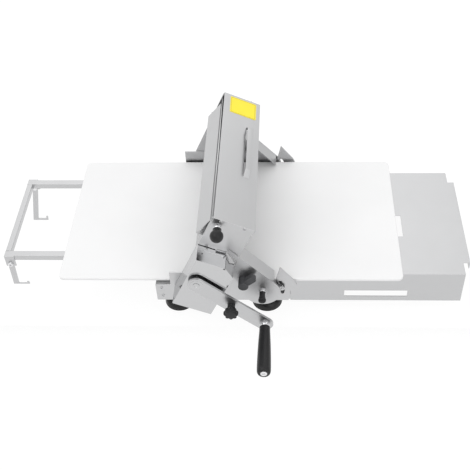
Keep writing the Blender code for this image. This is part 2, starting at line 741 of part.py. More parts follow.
def tray():
    """The folded tray with its hand slots and the tab bent down at its end."""
    top = TABLE_HEIGHT
    inner_top = TABLE_HEIGHT - SHEET
    outline = [(BASE_FRONT, TRAY_BOTTOM), (BASE_FRONT, top), (BASE_BACK, top), (BASE_BACK, TRAY_BOTTOM)]
    outline += [(BASE_BACK - SHEET, TRAY_BOTTOM), (BASE_BACK - SHEET, inner_top)]
    outline += [(BASE_FRONT + SHEET, inner_top), (BASE_FRONT + SHEET, TRAY_BOTTOM)]
    sheet = add("tray", prism(outline, TRAY_LEFT, TRAY_RIGHT, yz), STEEL)
    rooted = TRAY_RIGHT - OVERRUN
    inside = RIGHT_END - SHEET
    tab = [(rooted, top), (RIGHT_END, top), (RIGHT_END, top - TAB_DROP)]
    tab += [(inside, top - TAB_DROP), (inside, inner_top), (rooted, inner_top)]
    join(sheet, prism(tab, BASE_FRONT + TAB_NOTCH, BASE_BACK - TAB_NOTCH, xz))
    front = (BASE_FRONT - OVERRUN, BASE_FRONT + SHEET + OVERRUN)
    cut(sheet, block((SLOT_LEFT, SLOT_RIGHT), front, (SLOT_LOW, SLOT_HIGH)))
    hand = (TOP_SLOT_FRONT, TOP_SLOT_BACK)
    cut(sheet, block((TOP_SLOT_LEFT, TOP_SLOT_RIGHT), hand, (inner_top - OVERRUN, top + OVERRUN)))


def tray_splice():
    """A channel inside both flanges that carries the tray off the pan."""
    left = TRAY_LEFT - SPLICE_LENGTH / 2
    right = TRAY_LEFT + SPLICE_LENGTH / 2
    top = PAN_TOP - SHEET - SEAT_GAP
    low = top - SPLICE_HEIGHT
    front = BASE_FRONT + SHEET + SEAT_GAP
    back = BASE_BACK - SHEET - SEAT_GAP
    outline = [(front, low), (front, top), (back, top), (back, low), (back - SPLICE_THICK, low)]
    outline += [(back - SPLICE_THICK, top - SPLICE_THICK), (front + SPLICE_THICK, top - SPLICE_THICK)]
    outline.append((front + SPLICE_THICK, low))
    add("tray_splice", prism(outline, left, right, yz), STEEL)


def rails():
    """Two channels open below, each with a lug at its end for the leg's bolt."""
    under = TABLE_HEIGHT - RAIL_HEIGHT
    for name, side, y in (("front", -1, RAIL_FRONT_Y), ("back", 1, RAIL_BACK_Y)):
        near = y - RAIL_WIDTH / 2
        far = y + RAIL_WIDTH / 2
        inner_top = TABLE_HEIGHT - SHEET
        outline = [(near, under), (near, TABLE_HEIGHT), (far, TABLE_HEIGHT), (far, under)]
        outline += [(far - SHEET, under), (far - SHEET, inner_top)]
        outline += [(near + SHEET, inner_top), (near + SHEET, under)]
        rail = add(f"rail_{name}", prism(outline, RAIL_LEFT, RAIL_RIGHT, yz), STEEL)
        edge = y + side * RAIL_WIDTH / 2
        across = tuple(sorted((edge - side * SHEET, edge + side * LUG_THICK)))
        lug_low = under - LUG_DROP
        join(rail, block((RAIL_LEFT, RAIL_LEFT + LUG_LENGTH), across, (under, TABLE_HEIGHT)))
        plate = tuple(sorted((edge, edge + side * LUG_THICK)))
        join(rail, block((RAIL_LEFT, RAIL_LEFT + LUG_LENGTH), plate, (lug_low, under + OVERRUN)))
        cut(rail, hole((LEG_BOLT_X, LEG_BOLT_Z), LEG_BOLT_R + SEAT_GAP, *plate))


def rail_seat():
    """The channel on the pan that carries both rails."""
    low = PAN_TOP + SEAT_GAP
    top = TABLE_HEIGHT - RAIL_HEIGHT - SEAT_GAP
    left = BASE_LEFT + OVERRUN
    right = left + RAIL_SEAT_WIDTH
    outline = [(left, low), (left, top), (right, top), (right, low), (right - SHEET, low)]
    outline += [(right - SHEET, top - SHEET), (left + SHEET, top - SHEET), (left + SHEET, low)]
    add("rail_seat", prism(outline, RAIL_FRONT_Y - RAIL_WIDTH / 2, RAIL_BACK_Y + RAIL_WIDTH / 2, xz), STEEL)


def crossbar():
    near = RAIL_FRONT_Y + RAIL_WIDTH / 2 + SEAT_GAP
    far = RAIL_BACK_Y - RAIL_WIDTH / 2 - SEAT_GAP
    under = TABLE_HEIGHT - RAIL_HEIGHT
    left = RAIL_LEFT
    right = RAIL_LEFT + CROSSBAR_WIDTH
    inner_top = TABLE_HEIGHT - SHEET
    outline = [(left, under), (left, TABLE_HEIGHT), (right, TABLE_HEIGHT), (right, under)]
    outline += [(right - SHEET, under), (right - SHEET, inner_top)]
    outline += [(left + SHEET, inner_top), (left + SHEET, under)]
    add("crossbar", prism(outline, near, far, xz), STEEL)


def leg_outline():
    """A strip from the bolt down to a hooked foot, in x and z."""
    half = LEG_WIDTH / 2
    foot_x = LEG_BOLT_X - LEG_LEAN_OUT
    hub = (LEG_BOLT_X, LEG_BOLT_Z)
    bend_z = LEG_BOLT_Z - LEG_WIDTH
    bend_x = LEG_BOLT_X - LEG_LEAN_OUT * LEG_WIDTH / LEG_BOLT_Z
    outline = [(foot_x - half, 0.0), (bend_x - half, bend_z)]
    outline += arc(hub, half, 180.0, 0.0, END_STEPS)
    outline.append((bend_x + half, bend_z))
    outline += [(foot_x + half, LEG_FOOT_THICK), (foot_x + half + LEG_FOOT_REACH, LEG_FOOT_THICK)]
    tip = foot_x + half + LEG_FOOT_REACH
    outline += [(tip, LEG_FOOT_LIP), (tip + LEG_FOOT_THICK, LEG_FOOT_LIP), (tip + LEG_FOOT_THICK, 0.0)]
    return outline


def legs():
    """Strips that hang from the rails' lugs and lean inwards to their feet."""
    for name, side, y in (("front", -1, RAIL_FRONT_Y), ("back", 1, RAIL_BACK_Y)):
        edge = y + side * RAIL_WIDTH / 2
        outer = edge - side * SEAT_GAP
        inner = outer - side * LEG_THICK
        strip = prism(leg_outline(), *sorted((outer, inner)), xz)
        straight = LEG_BOLT_Z - LEG_WIDTH
        geometry = [*strip.verts, *strip.edges, *strip.faces]
        bmesh.ops.bisect_plane(strip, geom=geometry, plane_co=(0.0, 0.0, straight), plane_no=(0.0, 0.0, 1.0))
        for vertex in strip.verts:
            if vertex.co.z < straight:
                vertex.co.y -= side * LEG_LEAN_IN * (straight - vertex.co.z) / straight
        place = (LEG_BOLT_X, edge, LEG_BOLT_Z)
        leg = add(f"leg_{name}", strip, STEEL, place)
        span = sorted((outer, inner))
        cut(leg, hole((LEG_BOLT_X, LEG_BOLT_Z), LEG_BOLT_R + SEAT_GAP, *span))
        outside = edge + side * (LUG_THICK + SEAT_GAP)
        inside = inner - side * SLIDE_GAP
        profile = [(LEG_BOLT_HEAD_R, outside + side * LEG_BOLT_HEAD), (LEG_BOLT_HEAD_R, outside)]
        profile += [(LEG_BOLT_R, outside), (LEG_BOLT_R, inside)]
        profile += [(LEG_BOLT_HEAD_R, inside), (LEG_BOLT_HEAD_R, inside - side * LEG_NUT)]
        bolt = turned(profile, (LEG_BOLT_X, LEG_BOLT_Z), xz, SMALL)
        add(f"leg_bolt_{name}", bolt, BRIGHT, smooth=True)


def board():
    centre_x = BOARD_LEFT + BOARD_LENGTH / 2
    across = BOARD_LENGTH / 2 - BOARD_CORNER
    deep = BOARD_DEPTH / 2 - BOARD_CORNER
    outline = []
    for i, (a, b) in enumerate(((1, 1), (-1, 1), (-1, -1), (1, -1))):
        corner = (centre_x + a * across, b * deep)
        outline += arc(corner, BOARD_CORNER, 90.0 * i, 90.0 * (i + 1), CORNER_STEPS)
    slab = prism(outline, BOARD_UNDER, BOARD_TOP, xy)
    add("board", slab, WHITE, (centre_x, 0.0, BOARD_UNDER))


def gear_points(teeth, tooth_deg):
    """An involute gear's outline about zero, with one tooth centred at this angle."""
    pressure = math.radians(GEAR_PRESSURE_DEG)
    pitch_r = GEAR_MODULE * teeth / 2
    base_r = pitch_r * math.cos(pressure)
    tip_r = pitch_r + GEAR_MODULE * GEAR_ADDENDUM_SHARE
    root_r = pitch_r - GEAR_MODULE * GEAR_DEDENDUM_SHARE
    half_pitch = math.pi / (2 * teeth) - GEAR_BACKLASH / (2 * pitch_r)

    def half_width(radius):
        """Half the tooth's angle at this radius."""
        if radius <= base_r:
            return half_pitch + math.tan(pressure) - pressure
        slant = math.acos(base_r / radius)
        return half_pitch + (math.tan(pressure) - pressure) - (math.tan(slant) - slant)

    radii = [root_r, max(root_r, base_r), pitch_r, (pitch_r + tip_r) / 2, tip_r]
    points = []
    for i in range(teeth):
        middle = math.radians(tooth_deg) + 2 * math.pi * i / teeth
        for sign, order in ((-1, radii), (1, radii[::-1])):
            for radius in order:
                angle = middle + sign * half_width(radius)
                points.append((radius * math.cos(angle), radius * math.sin(angle)))
    return points


def bearing(start, end):
    """The angle in degrees from one axis to another."""
    return math.degrees(math.atan2(end[1] - start[1], end[0] - start[0]))


def mesh_phases():
    """The angles at which a tooth of each gear stands, so that the train meshes at rest."""
    idler_tooth = bearing(IDLER_AXIS, LOWER_AXIS)
    roller_tooth = idler_tooth + 180.0 + 180.0 / ROLLER_TEETH
    to_crank = bearing(IDLER_AXIS, CRANK_AXIS)
    pitch_deg = 360.0 / IDLER_TEETH
    offset = (idler_tooth - to_crank) % pitch_deg
    crank_gap = to_crank + 180.0 - offset * IDLER_TEETH / CRANK_TEETH
    crank_tooth = crank_gap + 180.0 / CRANK_TEETH
    return roller_tooth, idler_tooth, crank_tooth


def gear(name, teeth, centre, tooth_deg, bore_r):
    outline = [(centre[0] + a, centre[1] + b) for a, b in gear_points(teeth, tooth_deg)]
    low, high = spans(-1, GEAR_IN, GEAR_OUT)
    wheel = add(name, prism(outline, low, high, xz), STEEL, (centre[0], low, centre[1]))
    cut(wheel, hole(centre, bore_r + SEAT_GAP, low, high))


def gear_train():
    roller_tooth, idler_tooth, crank_tooth = mesh_phases()
    gear("roller_gear", ROLLER_TEETH, LOWER_AXIS, roller_tooth, JOURNAL_R)
    gear("idler_gear", IDLER_TEETH, IDLER_AXIS, idler_tooth, IDLER_AXLE_R)
    gear("crank_gear", CRANK_TEETH, CRANK_AXIS, crank_tooth, SHAFT_R)


def rollers():
    face = SIDE_IN - SEAT_GAP - BUSH_FLANGE_THICK - ROLLER_END_ROOM
    profile = [(JOURNAL_R, -(GEAR_OUT + SLIDE_GAP)), (JOURNAL_R, -face), (LOWER_ROLLER_R, -face)]
    profile += [(LOWER_ROLLER_R, face), (JOURNAL_R, face), (JOURNAL_R, TOWER_OUT + SLIDE_GAP)]
    place = (LOWER_AXIS[0], 0.0, LOWER_AXIS[1])
    add("lower_roller", turned(profile, LOWER_AXIS, xz, FINE), STEEL, place, smooth=True)
    face = ARM_IN - ROLLER_END_ROOM
    profile = [(JOURNAL_R, -ARM_OUT), (JOURNAL_R, -face), (UPPER_ROLLER_R, -face)]
    profile += [(UPPER_ROLLER_R, face), (JOURNAL_R, face), (JOURNAL_R, ARM_OUT)]
    place = (UPPER_AXIS[0], 0.0, UPPER_AXIS[1])
    add("upper_roller", turned(profile, UPPER_AXIS, xz, FINE), STEEL, place, smooth=True)


def crank():
    place = (CRANK_AXIS[0], -CRANK_BACK, CRANK_AXIS[1])
    shaft = rod(CRANK_AXIS, SHAFT_R, -CRANK_FRONT, -TOWER_IN, sides=ROUND)
    add("crank_shaft", shaft, STEEL, place, smooth=True)
    half = CRANK_ARM_WIDTH / 2
    outline = arc(CRANK_AXIS, half, CRANK_ANGLE_DEG + 90.0, CRANK_ANGLE_DEG + 270.0, END_STEPS)
    outline += arc(GRIP_AXIS, half, CRANK_ANGLE_DEG - 90.0, CRANK_ANGLE_DEG + 90.0, END_STEPS)
    arm = add("crank_arm", prism(outline, -CRANK_FRONT, -CRANK_BACK, xz), STEEL, place)
    holes = ((CRANK_AXIS, SHAFT_R), (STAR_AXIS, STUD_R), (GRIP_AXIS, SPINDLE_R))
    cut(arm, *(hole(centre, radius + SEAT_GAP, -CRANK_FRONT, -CRANK_BACK) for centre, radius in holes))
    ring_low = -(CRANK_FRONT + SEAT_GAP + HUB_RING_THICK)
    dish = ring_low + HUB_RING_THICK / 2
    profile = [(0.0, dish), (HUB_RING_R * HUB_RING_DISH_SHARES[0], dish)]
    profile += [(HUB_RING_R * HUB_RING_DISH_SHARES[1], ring_low), (HUB_RING_R, ring_low)]
    profile += [(HUB_RING_R, ring_low + HUB_RING_THICK), (0.0, ring_low + HUB_RING_THICK)]
    add("crank_hub_screw", turned(profile, CRANK_AXIS, xz, SMALL), STEEL, place, smooth=True)


def star_knob():
    start = CRANK_FRONT + SEAT_GAP
    neck = start + STAR_NECK_LENGTH
    profile = [(STAR_NECK_R, -start), (STAR_NECK_R, -neck)]
    profile += [(STAR_KNOB_R * a, -neck - STAR_KNOB_THICK * b) for a, b in STAR_SHARES]
    profile.append((0.0, -neck - STAR_KNOB_THICK))
    body = turned(profile, STAR_AXIS, xz, STAR_SIDES, lobes=STAR_LOBES, lobe_share=STAR_LOBE_SHARE)
    knob = add("star_knob", body, BLACK, (STAR_AXIS[0], -start, STAR_AXIS[1]), smooth=True)
    join(knob, rod(STAR_AXIS, STUD_R, -start - SLIDE_GAP, -CRANK_BACK))


def grip():
    axis = GRIP_AXIS
    back = CRANK_BACK - SEAT_GAP
    front = CRANK_FRONT + SEAT_GAP
    profile = [(SPINDLE_HEAD_R, back - SPINDLE_HEAD_THICK), (SPINDLE_HEAD_R, back), (SPINDLE_R, back)]
    cone_r, cone_start = FERRULE_CONE_SHARES
    profile += [(SPINDLE_R, front), (FERRULE_R, front), (FERRULE_R, front + FERRULE_LENGTH * cone_start)]
    profile += [(FERRULE_R * cone_r, front + FERRULE_LENGTH), (SPINDLE_R, front + FERRULE_LENGTH)]
    profile.append((SPINDLE_R, GRIP_START + GRIP_BORE_DEPTH - 2 * SLIDE_GAP))
    place = (axis[0], -CRANK_FRONT, axis[1])
    add("grip_spindle", turned(mirror_profile(profile, -1), axis, xz, ROUND), BRIGHT, place, smooth=True)

    end = GRIP_START + GRIP_LENGTH
    cap_seat = end - GRIP_CAP_THICK
    bore = SPINDLE_R + SLIDE_GAP
    body = [(bore, GRIP_START), (GRIP_INNER_R * GRIP_LIP_SHARE, GRIP_START)]
    body.append((GRIP_INNER_R, GRIP_START + GRIP_END_ROUND / 2))
    for share in GRIP_SWELL_SHARES:
        swell = GRIP_INNER_R + (GRIP_OUTER_R - GRIP_INNER_R) * math.sin(share * math.pi / 2)
        body.append((swell, GRIP_START + GRIP_LENGTH * share))
    for i in range(GRIP_END_STEPS + 1):
        angle = math.pi / 2 * i / GRIP_END_STEPS
        radius = GRIP_OUTER_R - GRIP_END_ROUND * (1.0 - math.cos(angle))
        body.append((radius, end - GRIP_END_ROUND * (1.0 - math.sin(angle))))
    body += [(GRIP_CAP_R + SEAT_GAP, end), (GRIP_CAP_R + SEAT_GAP, cap_seat)]
    body += [(0.0, cap_seat)]
    hollow = [(bore, GRIP_START), (bore, GRIP_START + GRIP_BORE_DEPTH), (0.0, GRIP_START + GRIP_BORE_DEPTH)]
    shape = turned(mirror_profile(hollow[::-1] + body[1:], -1), axis, xz, ROUND)
    place = (axis[0], -GRIP_START, axis[1])
    add("grip", shape, BLACK, place, smooth=True)
    cap_low = cap_seat + SEAT_GAP
    cap_high = end + GRIP_CAP_PROUD
    profile = [(0.0, -cap_low), (GRIP_CAP_R, -cap_low), (GRIP_CAP_R, -cap_high + GRIP_CAP_PROUD)]
    profile += [(GRIP_CAP_R * GRIP_CAP_EDGE_SHARE, -cap_high), (0.0, -cap_high)]
    add("grip_cap", turned(profile, axis, xz, SMALL), BRIGHT, place, smooth=True)


def head_plates():
    points = [(0.0, HEAD_LOW_W), (HEAD_SLOT_U, HEAD_LOW_W), (HEAD_SLOT_U + HEAD_SLOT_RAMP, HEAD_SLOT_W)]
    points += [(HEAD_WIDTH, HEAD_SLOT_END_W), (HEAD_WIDTH, HEAD_TOP_W), (0.0, HEAD_TOP_W)]
    outline = [tower_point(u, w) for u, w in points]
    for name, side in SIDES:
        low, high = spans(side, HEAD_IN, HEAD_OUT)
        place = (PIVOT_X, side * HEAD_IN, PIVOT_Z)
        plate = add(f"head_plate_{name}", prism(outline, low, high, xz), STEEL, place)
        if side < 0:
            cut(plate, hole(PLUNGER, PLUNGER_PIN_R + SEAT_GAP, low, high))


def brace_line(distance, along):
    """A point at this distance from the pivot square to the brace's slope, and this far up it."""
    slope = math.radians(BRACE_SLOPE_DEG)
    foot = around(PIVOT, distance, 90.0 - BRACE_SLOPE_DEG)
    return (foot[0] - along * math.cos(slope), foot[1] + along * math.sin(slope))


def line_reach(u):
    """How far up the brace's outer line the tower's u has this value."""
    slope = math.radians(BRACE_SLOPE_DEG - TOWER_LEAN_DEG)
    foot = brace_line(DISC_R, 0.0)
    start = tower_place(*foot)[0]
    return (start - u) / math.cos(slope)


def braces():
    """Arms from the head down to a disc on the pivot, each with a flange along its top edge."""
    top_deg = 90.0 - BRACE_SLOPE_DEG
    outline = [brace_line(DISC_R, BRACE_TOP_REACH)]
    outline += arc(PIVOT, DISC_R, top_deg, top_deg - BRACE_DISC_DEG, DISC_STEPS)
    outline += [(PIVOT_X + a * DISC_R, PIVOT_Z + b * DISC_R) for a, b in BRACE_HEEL_SHARES[::-1]]
    outline.append(tower_point(BRACE_WAIST_U, BRACE_WAIST_W))
    outline.append(tower_point(BRACE_SHOULDER_U, BRACE_SHOULDER_W))
    start = line_reach(BRACE_FLANGE_START_U)
    outer = DISC_R - SEAT_GAP
    inner = outer - BRACE_FLANGE_THICK
    flange = [brace_line(outer, start), brace_line(outer, BRACE_FLANGE_STOP)]
    flange += [brace_line(inner, BRACE_FLANGE_STOP), brace_line(inner, start)]
    for name, side in SIDES:
        low, high = spans(side, BRACE_IN, BRACE_OUT)
        place = (PIVOT_X, side * BRACE_IN, PIVOT_Z)
        arm = add(f"brace_{name}", prism(outline, low, high, xz), STEEL, place)
        deep = spans(side, BRACE_OUT - BRACE_FLANGE_DEPTH, BRACE_IN + BRACE_THICK / 2)
        join(arm, prism(flange, *deep, xz))
        boss = spans(side, SIDE_OUT + SEAT_GAP, BRACE_IN + BRACE_THICK / 2)
        join(arm, rod(PIVOT, PIVOT_BOSS_R, *boss, sides=ROUND))
        cut(arm, hole(PIVOT, PIVOT_BOLT_R + SEAT_GAP, *spans(side, SIDE_OUT, BRACE_OUT)))
        if side < 0:
            cut(arm, hole(WING, STUD_R + SEAT_GAP, low, high))


def guide_pin():
    """A link on the brace's back that carries a pin through the side plate's arc slot."""
    place = around(PIVOT, PIN_SLOT_R, PIN_DEG)
    inner = around(PIVOT, PIVOT_BOSS_R + PIN_LINK_HALF + SLIDE_GAP, PIN_DEG)
    outline = arc(place, PIN_LINK_HALF, PIN_DEG - 90.0, PIN_DEG + 90.0, SLOT_END_STEPS)
    outline += arc(inner, PIN_LINK_HALF, PIN_DEG + 90.0, PIN_DEG + 270.0, SLOT_END_STEPS)
    high = BRACE_IN - SEAT_GAP
    low = high - PIN_LINK_THICK
    origin = (PIVOT_X, -BRACE_IN, PIVOT_Z)
    link = add("guide_pin", prism(outline, -high, -low, xz), STEEL, origin)
    join(link, rod(place, PIN_R, -high - PIN_LINK_THICK, -SIDE_IN))


def pivot_bolts():
    for name, side in SIDES:
        inside = SIDE_IN - SEAT_GAP
        outside = BRACE_OUT + SEAT_GAP
        profile = [(PIVOT_NUT_R, inside - PIVOT_NUT_THICK), (PIVOT_NUT_R, inside), (PIVOT_BOLT_R, inside)]
        profile += [(PIVOT_BOLT_R, outside), (PIVOT_HEAD_R, outside)]
        profile.append((PIVOT_HEAD_R, outside + PIVOT_HEAD_THICK))
        if side < 0:
            tip = outside + PIVOT_HEAD_THICK + PIVOT_SPIGOT
            profile += [(PIVOT_SPIGOT_R, outside + PIVOT_HEAD_THICK), (PIVOT_SPIGOT_R, tip)]
        bolt = turned(mirror_profile(profile, side), PIVOT, xz, ROUND)
        add(f"pivot_bolt_{name}", bolt, STEEL, smooth=True)


def lock_knob():
    """The small knob that slides on the pivot bolt's spigot."""
    start = BRACE_OUT + SEAT_GAP + PIVOT_HEAD_THICK + SEAT_GAP
    bore = PIVOT_SPIGOT_R + SEAT_GAP
    depth = start + PIVOT_SPIGOT + SLIDE_GAP
    profile = [(0.0, depth), (bore, depth), (bore, start)]
    profile += [(LOCK_KNOB_R * a, start + LOCK_KNOB_LENGTH * b) for a, b in LOCK_KNOB_SHARES]
    profile.append((0.0, start + LOCK_KNOB_LENGTH))
    knob = turned(mirror_profile(profile, -1), PIVOT, xz, ROUND)
    add("lock_knob", knob, BLACK, (PIVOT_X, -start, PIVOT_Z), smooth=True)


def index_plunger():
    seat = HEAD_OUT + SEAT_GAP
    front = seat + COLLAR_LENGTH
    cone_r, cone_start = COLLAR_CONE_SHARES
    profile = [(COLLAR_BORE_R, seat), (COLLAR_R, seat), (COLLAR_R, seat + COLLAR_LENGTH * cone_start)]
    profile += [(COLLAR_R * cone_r, front), (COLLAR_BORE_R, front)]
    collar = turned(mirror_profile(profile, -1), PLUNGER, xz, ROUND, ring=True)
    origin = (PLUNGER[0], -seat, PLUNGER[1])
    add("plunger_collar", collar, BRIGHT, origin, smooth=True)
    stem = COLLAR_BORE_R - SEAT_GAP
    neck = front + SEAT_GAP
    ball = neck + BALL_NECK_LENGTH
    spread = math.asin(BALL_NECK_R / BALL_R)
    centre = ball + BALL_R * math.cos(spread)
    profile = [(PLUNGER_PIN_R, TOWER_OUT + SEAT_GAP), (PLUNGER_PIN_R, seat), (stem, seat), (stem, neck)]
    profile += [(BALL_NECK_R, neck), (BALL_NECK_R * BALL_WAIST_SHARE, ball - BALL_NECK_LENGTH / 2)]
    for i in range(BALL_STEPS):
        angle = spread + (math.pi - spread) * i / BALL_STEPS
        profile.append((BALL_R * math.sin(angle), centre - BALL_R * math.cos(angle)))
    profile.append((0.0, centre + BALL_R))
    knob = turned(mirror_profile(profile, -1), PLUNGER, xz, ROUND)
    add("index_knob", knob, BLACK, origin, smooth=True)


def wing_knob():
    """A clamp with one long lobe on the brace, whose stud presses a pad on the side plate."""
    seat = BRACE_OUT + SEAT_GAP
    origin = (WING_X, -seat, WING_Z)
    profile = [(WING_HUB_R, -seat)]
    profile += [(WING_HUB_R * a, -seat - WING_HEIGHT * b) for a, b in WING_HUB_SHARES]
    profile.append((0.0, profile[-1][1]))
    knob = add("wing_knob", turned(profile, WING, xz, SMALL), GREY, origin, smooth=True)
    tip = around(WING, WING_REACH, WING_DEG)
    outline = arc(tip, WING_LOBE_R, WING_DEG - 90.0, WING_DEG + 90.0, END_STEPS // 2)
    outline += arc(WING, WING_LOBE_R * WING_WAIST_SHARE, WING_DEG + 90.0, WING_DEG + 270.0, END_STEPS // 2)
    low, high = [-seat - WING_HEIGHT * share for share in WING_LOBE_SHARES[::-1]]
    join(knob, prism(outline, low, high, xz))
    join(knob, rod(WING, STUD_R, -seat - SLIDE_GAP, -SIDE_OUT - SEAT_GAP - SLIDE_GAP))
    join(knob, rod(WING, WING_PAD_R, -(HEAD_OUT - SLIDE_GAP), -SIDE_OUT - SEAT_GAP))


def sheet_between(low_u, high_u, low_w, high_w):
    corners = ((low_u, low_w), (high_u, low_w), (high_u, high_w), (low_u, high_w))
    return [tower_point(u, w) for u, w in corners]


def hood_top():
    """The hood's top sheet with its left and end flanges and the lanced strap handle."""
    under = HOOD_TOP_W - SHEET
    end_in = HEAD_OUT + SEAT_GAP
    end_out = end_in + SHEET
    origin = (PIVOT_X, 0.0, PIVOT_Z)
    top = sheet_between(HOOD_LEFT_U, HOOD_RIGHT_U, under, HOOD_TOP_W)
    hood = add("hood_top", prism(top, -end_out, end_out, xz), STEEL, origin)
    rooted = HOOD_TOP_W - SHEET / 2
    left = sheet_between(HOOD_LEFT_U, HOOD_LEFT_U + SHEET, HOOD_TOP_W - HOOD_LEFT_FLANGE, rooted)
    join(hood, prism(left, -HOOD_INNER_END, HOOD_INNER_END, xz))
    end = sheet_between(HOOD_LEFT_U, HOOD_RIGHT_U, HOOD_TOP_W - HOOD_END_FLANGE, rooted)
    for _, side in SIDES:
        join(hood, prism(end, *spans(side, end_in, end_out), xz))
    near = STRAP_U - STRAP_WIDTH / 2
    far = STRAP_U + STRAP_WIDTH / 2
    narrow = sheet_between(near, far, under - OVERRUN, HOOD_TOP_W + OVERRUN)
    cut(hood, prism(narrow, STRAP_FRONT + STRAP_RAMP / 2, STRAP_BACK - STRAP_RAMP / 2, xz))
    join(hood, strap())


def strap():
    """The strap's ramps and its raised run, as one bent strip along y."""
    low = HOOD_TOP_W - SHEET
    high = HOOD_TOP_W + STRAP_RISE
    front = STRAP_FRONT
    back = STRAP_BACK
    points = [(front, HOOD_TOP_W), (front + STRAP_RAMP, high), (back - STRAP_RAMP, high), (back, HOOD_TOP_W)]
    points += [(back, low), (back - SHEET, low), (back - STRAP_RAMP - SHEET / 2, high - SHEET)]
    points += [(front + STRAP_RAMP + SHEET / 2, high - SHEET), (front + SHEET, low), (front, low)]

    def on_tower(along, w, u):
        x, z = tower_point(u, w)
        return Vector((x, along, z))

    half = STRAP_WIDTH / 2 - SEAT_GAP
    return prism(points, STRAP_U - half, STRAP_U + half, on_tower)


def hood_side_panel():
    """The splayed panel at the head's left, with a tab at each end against the roller arms."""
    top = (HOOD_LEFT_U, PANEL_TOP_W)
    low = (HOOD_LEFT_U - PANEL_SPLAY, PANEL_LOW_W)
    outline = [top, low, (low[0] + SHEET, low[1]), (top[0] + SHEET, top[1])]
    outline = [tower_point(u, w) for u, w in outline]
    end = ARM_IN - SEAT_GAP
    origin = (PIVOT_X, 0.0, PIVOT_Z)
    panel = add("hood_side_panel", prism(outline, -end, end, xz), STEEL, origin)
    middle_w = (PANEL_TOP_W + PANEL_LOW_W) / 2
    tab = [(top[0] + SHEET / 2, PANEL_TOP_W - SHEET), (low[0] + SHEET / 2, PANEL_LOW_W + SHEET)]
    tab += [(HOOD_LEFT_U + PANEL_TAB / 2, PANEL_LOW_W + SHEET), (HOOD_LEFT_U + PANEL_TAB, middle_w)]
    tab = [tower_point(u, w) for u, w in tab]
    for _, side in SIDES:
        join(panel, prism(tab, *spans(side, end - SHEET, end), xz))


def roller_arms():
    """Plates inside the side plates that hang the upper roller from the hood."""
    w = tower_place(*UPPER_AXIS)[1]
    outline = [tower_point(ARM_RIGHT_U, HEAD_TOP_W), tower_point(ARM_LEFT_U, HEAD_TOP_W)]
    outline.append(tower_point(ARM_LEFT_U, TIE_ROD_W))
    outline += arc(UPPER_AXIS, ARM_FOOT_R, 180.0 - TOWER_LEAN_DEG, 360.0 - TOWER_LEAN_DEG, END_STEPS)
    outline.append(tower_point(ARM_RIGHT_U, w + ARM_FOOT_R))
    flange_top = HEAD_TOP_W - SEAT_GAP
    flange = sheet_between(ARM_LEFT_U + SHEET, ARM_RIGHT_U - SHEET, flange_top - ARM_PLATE_THICK, flange_top)
    for name, side in SIDES:
        low, high = spans(side, ARM_IN, ARM_OUT)
        origin = (PIVOT_X, side * ARM_IN, PIVOT_Z)
        arm = add(f"roller_arm_{name}", prism(outline, low, high, xz), STEEL, origin)
        join(arm, prism(flange, *spans(side, ARM_OUT - ARM_FLANGE, ARM_IN + ARM_PLATE_THICK / 2), xz))
        cut(arm, hole(UPPER_AXIS, JOURNAL_R + SEAT_GAP, low, high))


def head_inside():
    """The tie rod between the roller arms and the scraper that keeps the upper roller clean."""
    end = ARM_IN - SEAT_GAP
    origin = (PIVOT_X, 0.0, PIVOT_Z)
    tie_rod = rod(tower_point(TIE_ROD_U, TIE_ROD_W), TIE_ROD_R, -end, end)
    add("head_tie_rod", tie_rod, STEEL, origin, smooth=True)
    u, w = tower_place(*UPPER_AXIS)
    low = w + UPPER_ROLLER_R + SLIDE_GAP
    blade = sheet_between(u - SCRAPER_THICK / 2, u + SCRAPER_THICK / 2, low, low + SCRAPER_LENGTH)
    add("upper_scraper", prism(blade, -end, end, xz), STEEL, origin)


def build():
    base_pan()
    foot_bars()
    suction_cups()
    side_plates()
    side_spacers()
    tower_plates()
    gear_case()
    idler_axle()
    bushings()
    tray()
    tray_splice()
    rails()
    rail_seat()
    crossbar()
    legs()
    board()
    gear_train()
    rollers()
    crank()
    star_knob()
    grip()
    head_plates()
    braces()
    guide_pin()
    pivot_bolts()
    lock_knob()
    index_plunger()
    wing_knob()
    hood_top()
    hood_side_panel()
    roller_arms()
    head_inside()


build()
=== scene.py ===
import json
import math

import bmesh
import bpy
from mathutils import Matrix, Vector


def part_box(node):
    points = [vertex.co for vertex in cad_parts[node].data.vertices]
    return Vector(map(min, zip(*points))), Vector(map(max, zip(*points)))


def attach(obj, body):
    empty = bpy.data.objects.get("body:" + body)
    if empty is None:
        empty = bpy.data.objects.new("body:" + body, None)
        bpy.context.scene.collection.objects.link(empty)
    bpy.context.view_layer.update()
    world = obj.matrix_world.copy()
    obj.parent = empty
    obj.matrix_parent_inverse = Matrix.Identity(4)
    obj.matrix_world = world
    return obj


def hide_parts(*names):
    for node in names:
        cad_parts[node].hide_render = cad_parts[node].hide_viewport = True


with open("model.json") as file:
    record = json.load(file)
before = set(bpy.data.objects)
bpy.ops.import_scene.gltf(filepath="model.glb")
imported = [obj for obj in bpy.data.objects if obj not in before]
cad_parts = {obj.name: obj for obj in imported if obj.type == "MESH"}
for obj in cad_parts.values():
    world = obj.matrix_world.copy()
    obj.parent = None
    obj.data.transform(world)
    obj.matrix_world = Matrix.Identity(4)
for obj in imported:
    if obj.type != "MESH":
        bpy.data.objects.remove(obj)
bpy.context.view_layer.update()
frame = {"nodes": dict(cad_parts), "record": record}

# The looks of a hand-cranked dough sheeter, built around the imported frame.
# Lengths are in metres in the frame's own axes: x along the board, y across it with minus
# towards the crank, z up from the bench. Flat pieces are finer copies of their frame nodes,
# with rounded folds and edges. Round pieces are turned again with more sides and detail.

BODIES = frame["record"]["behaviour"]["bodies"]
BODY_OF = {node: body for body, nodes in BODIES.items() for node in nodes}

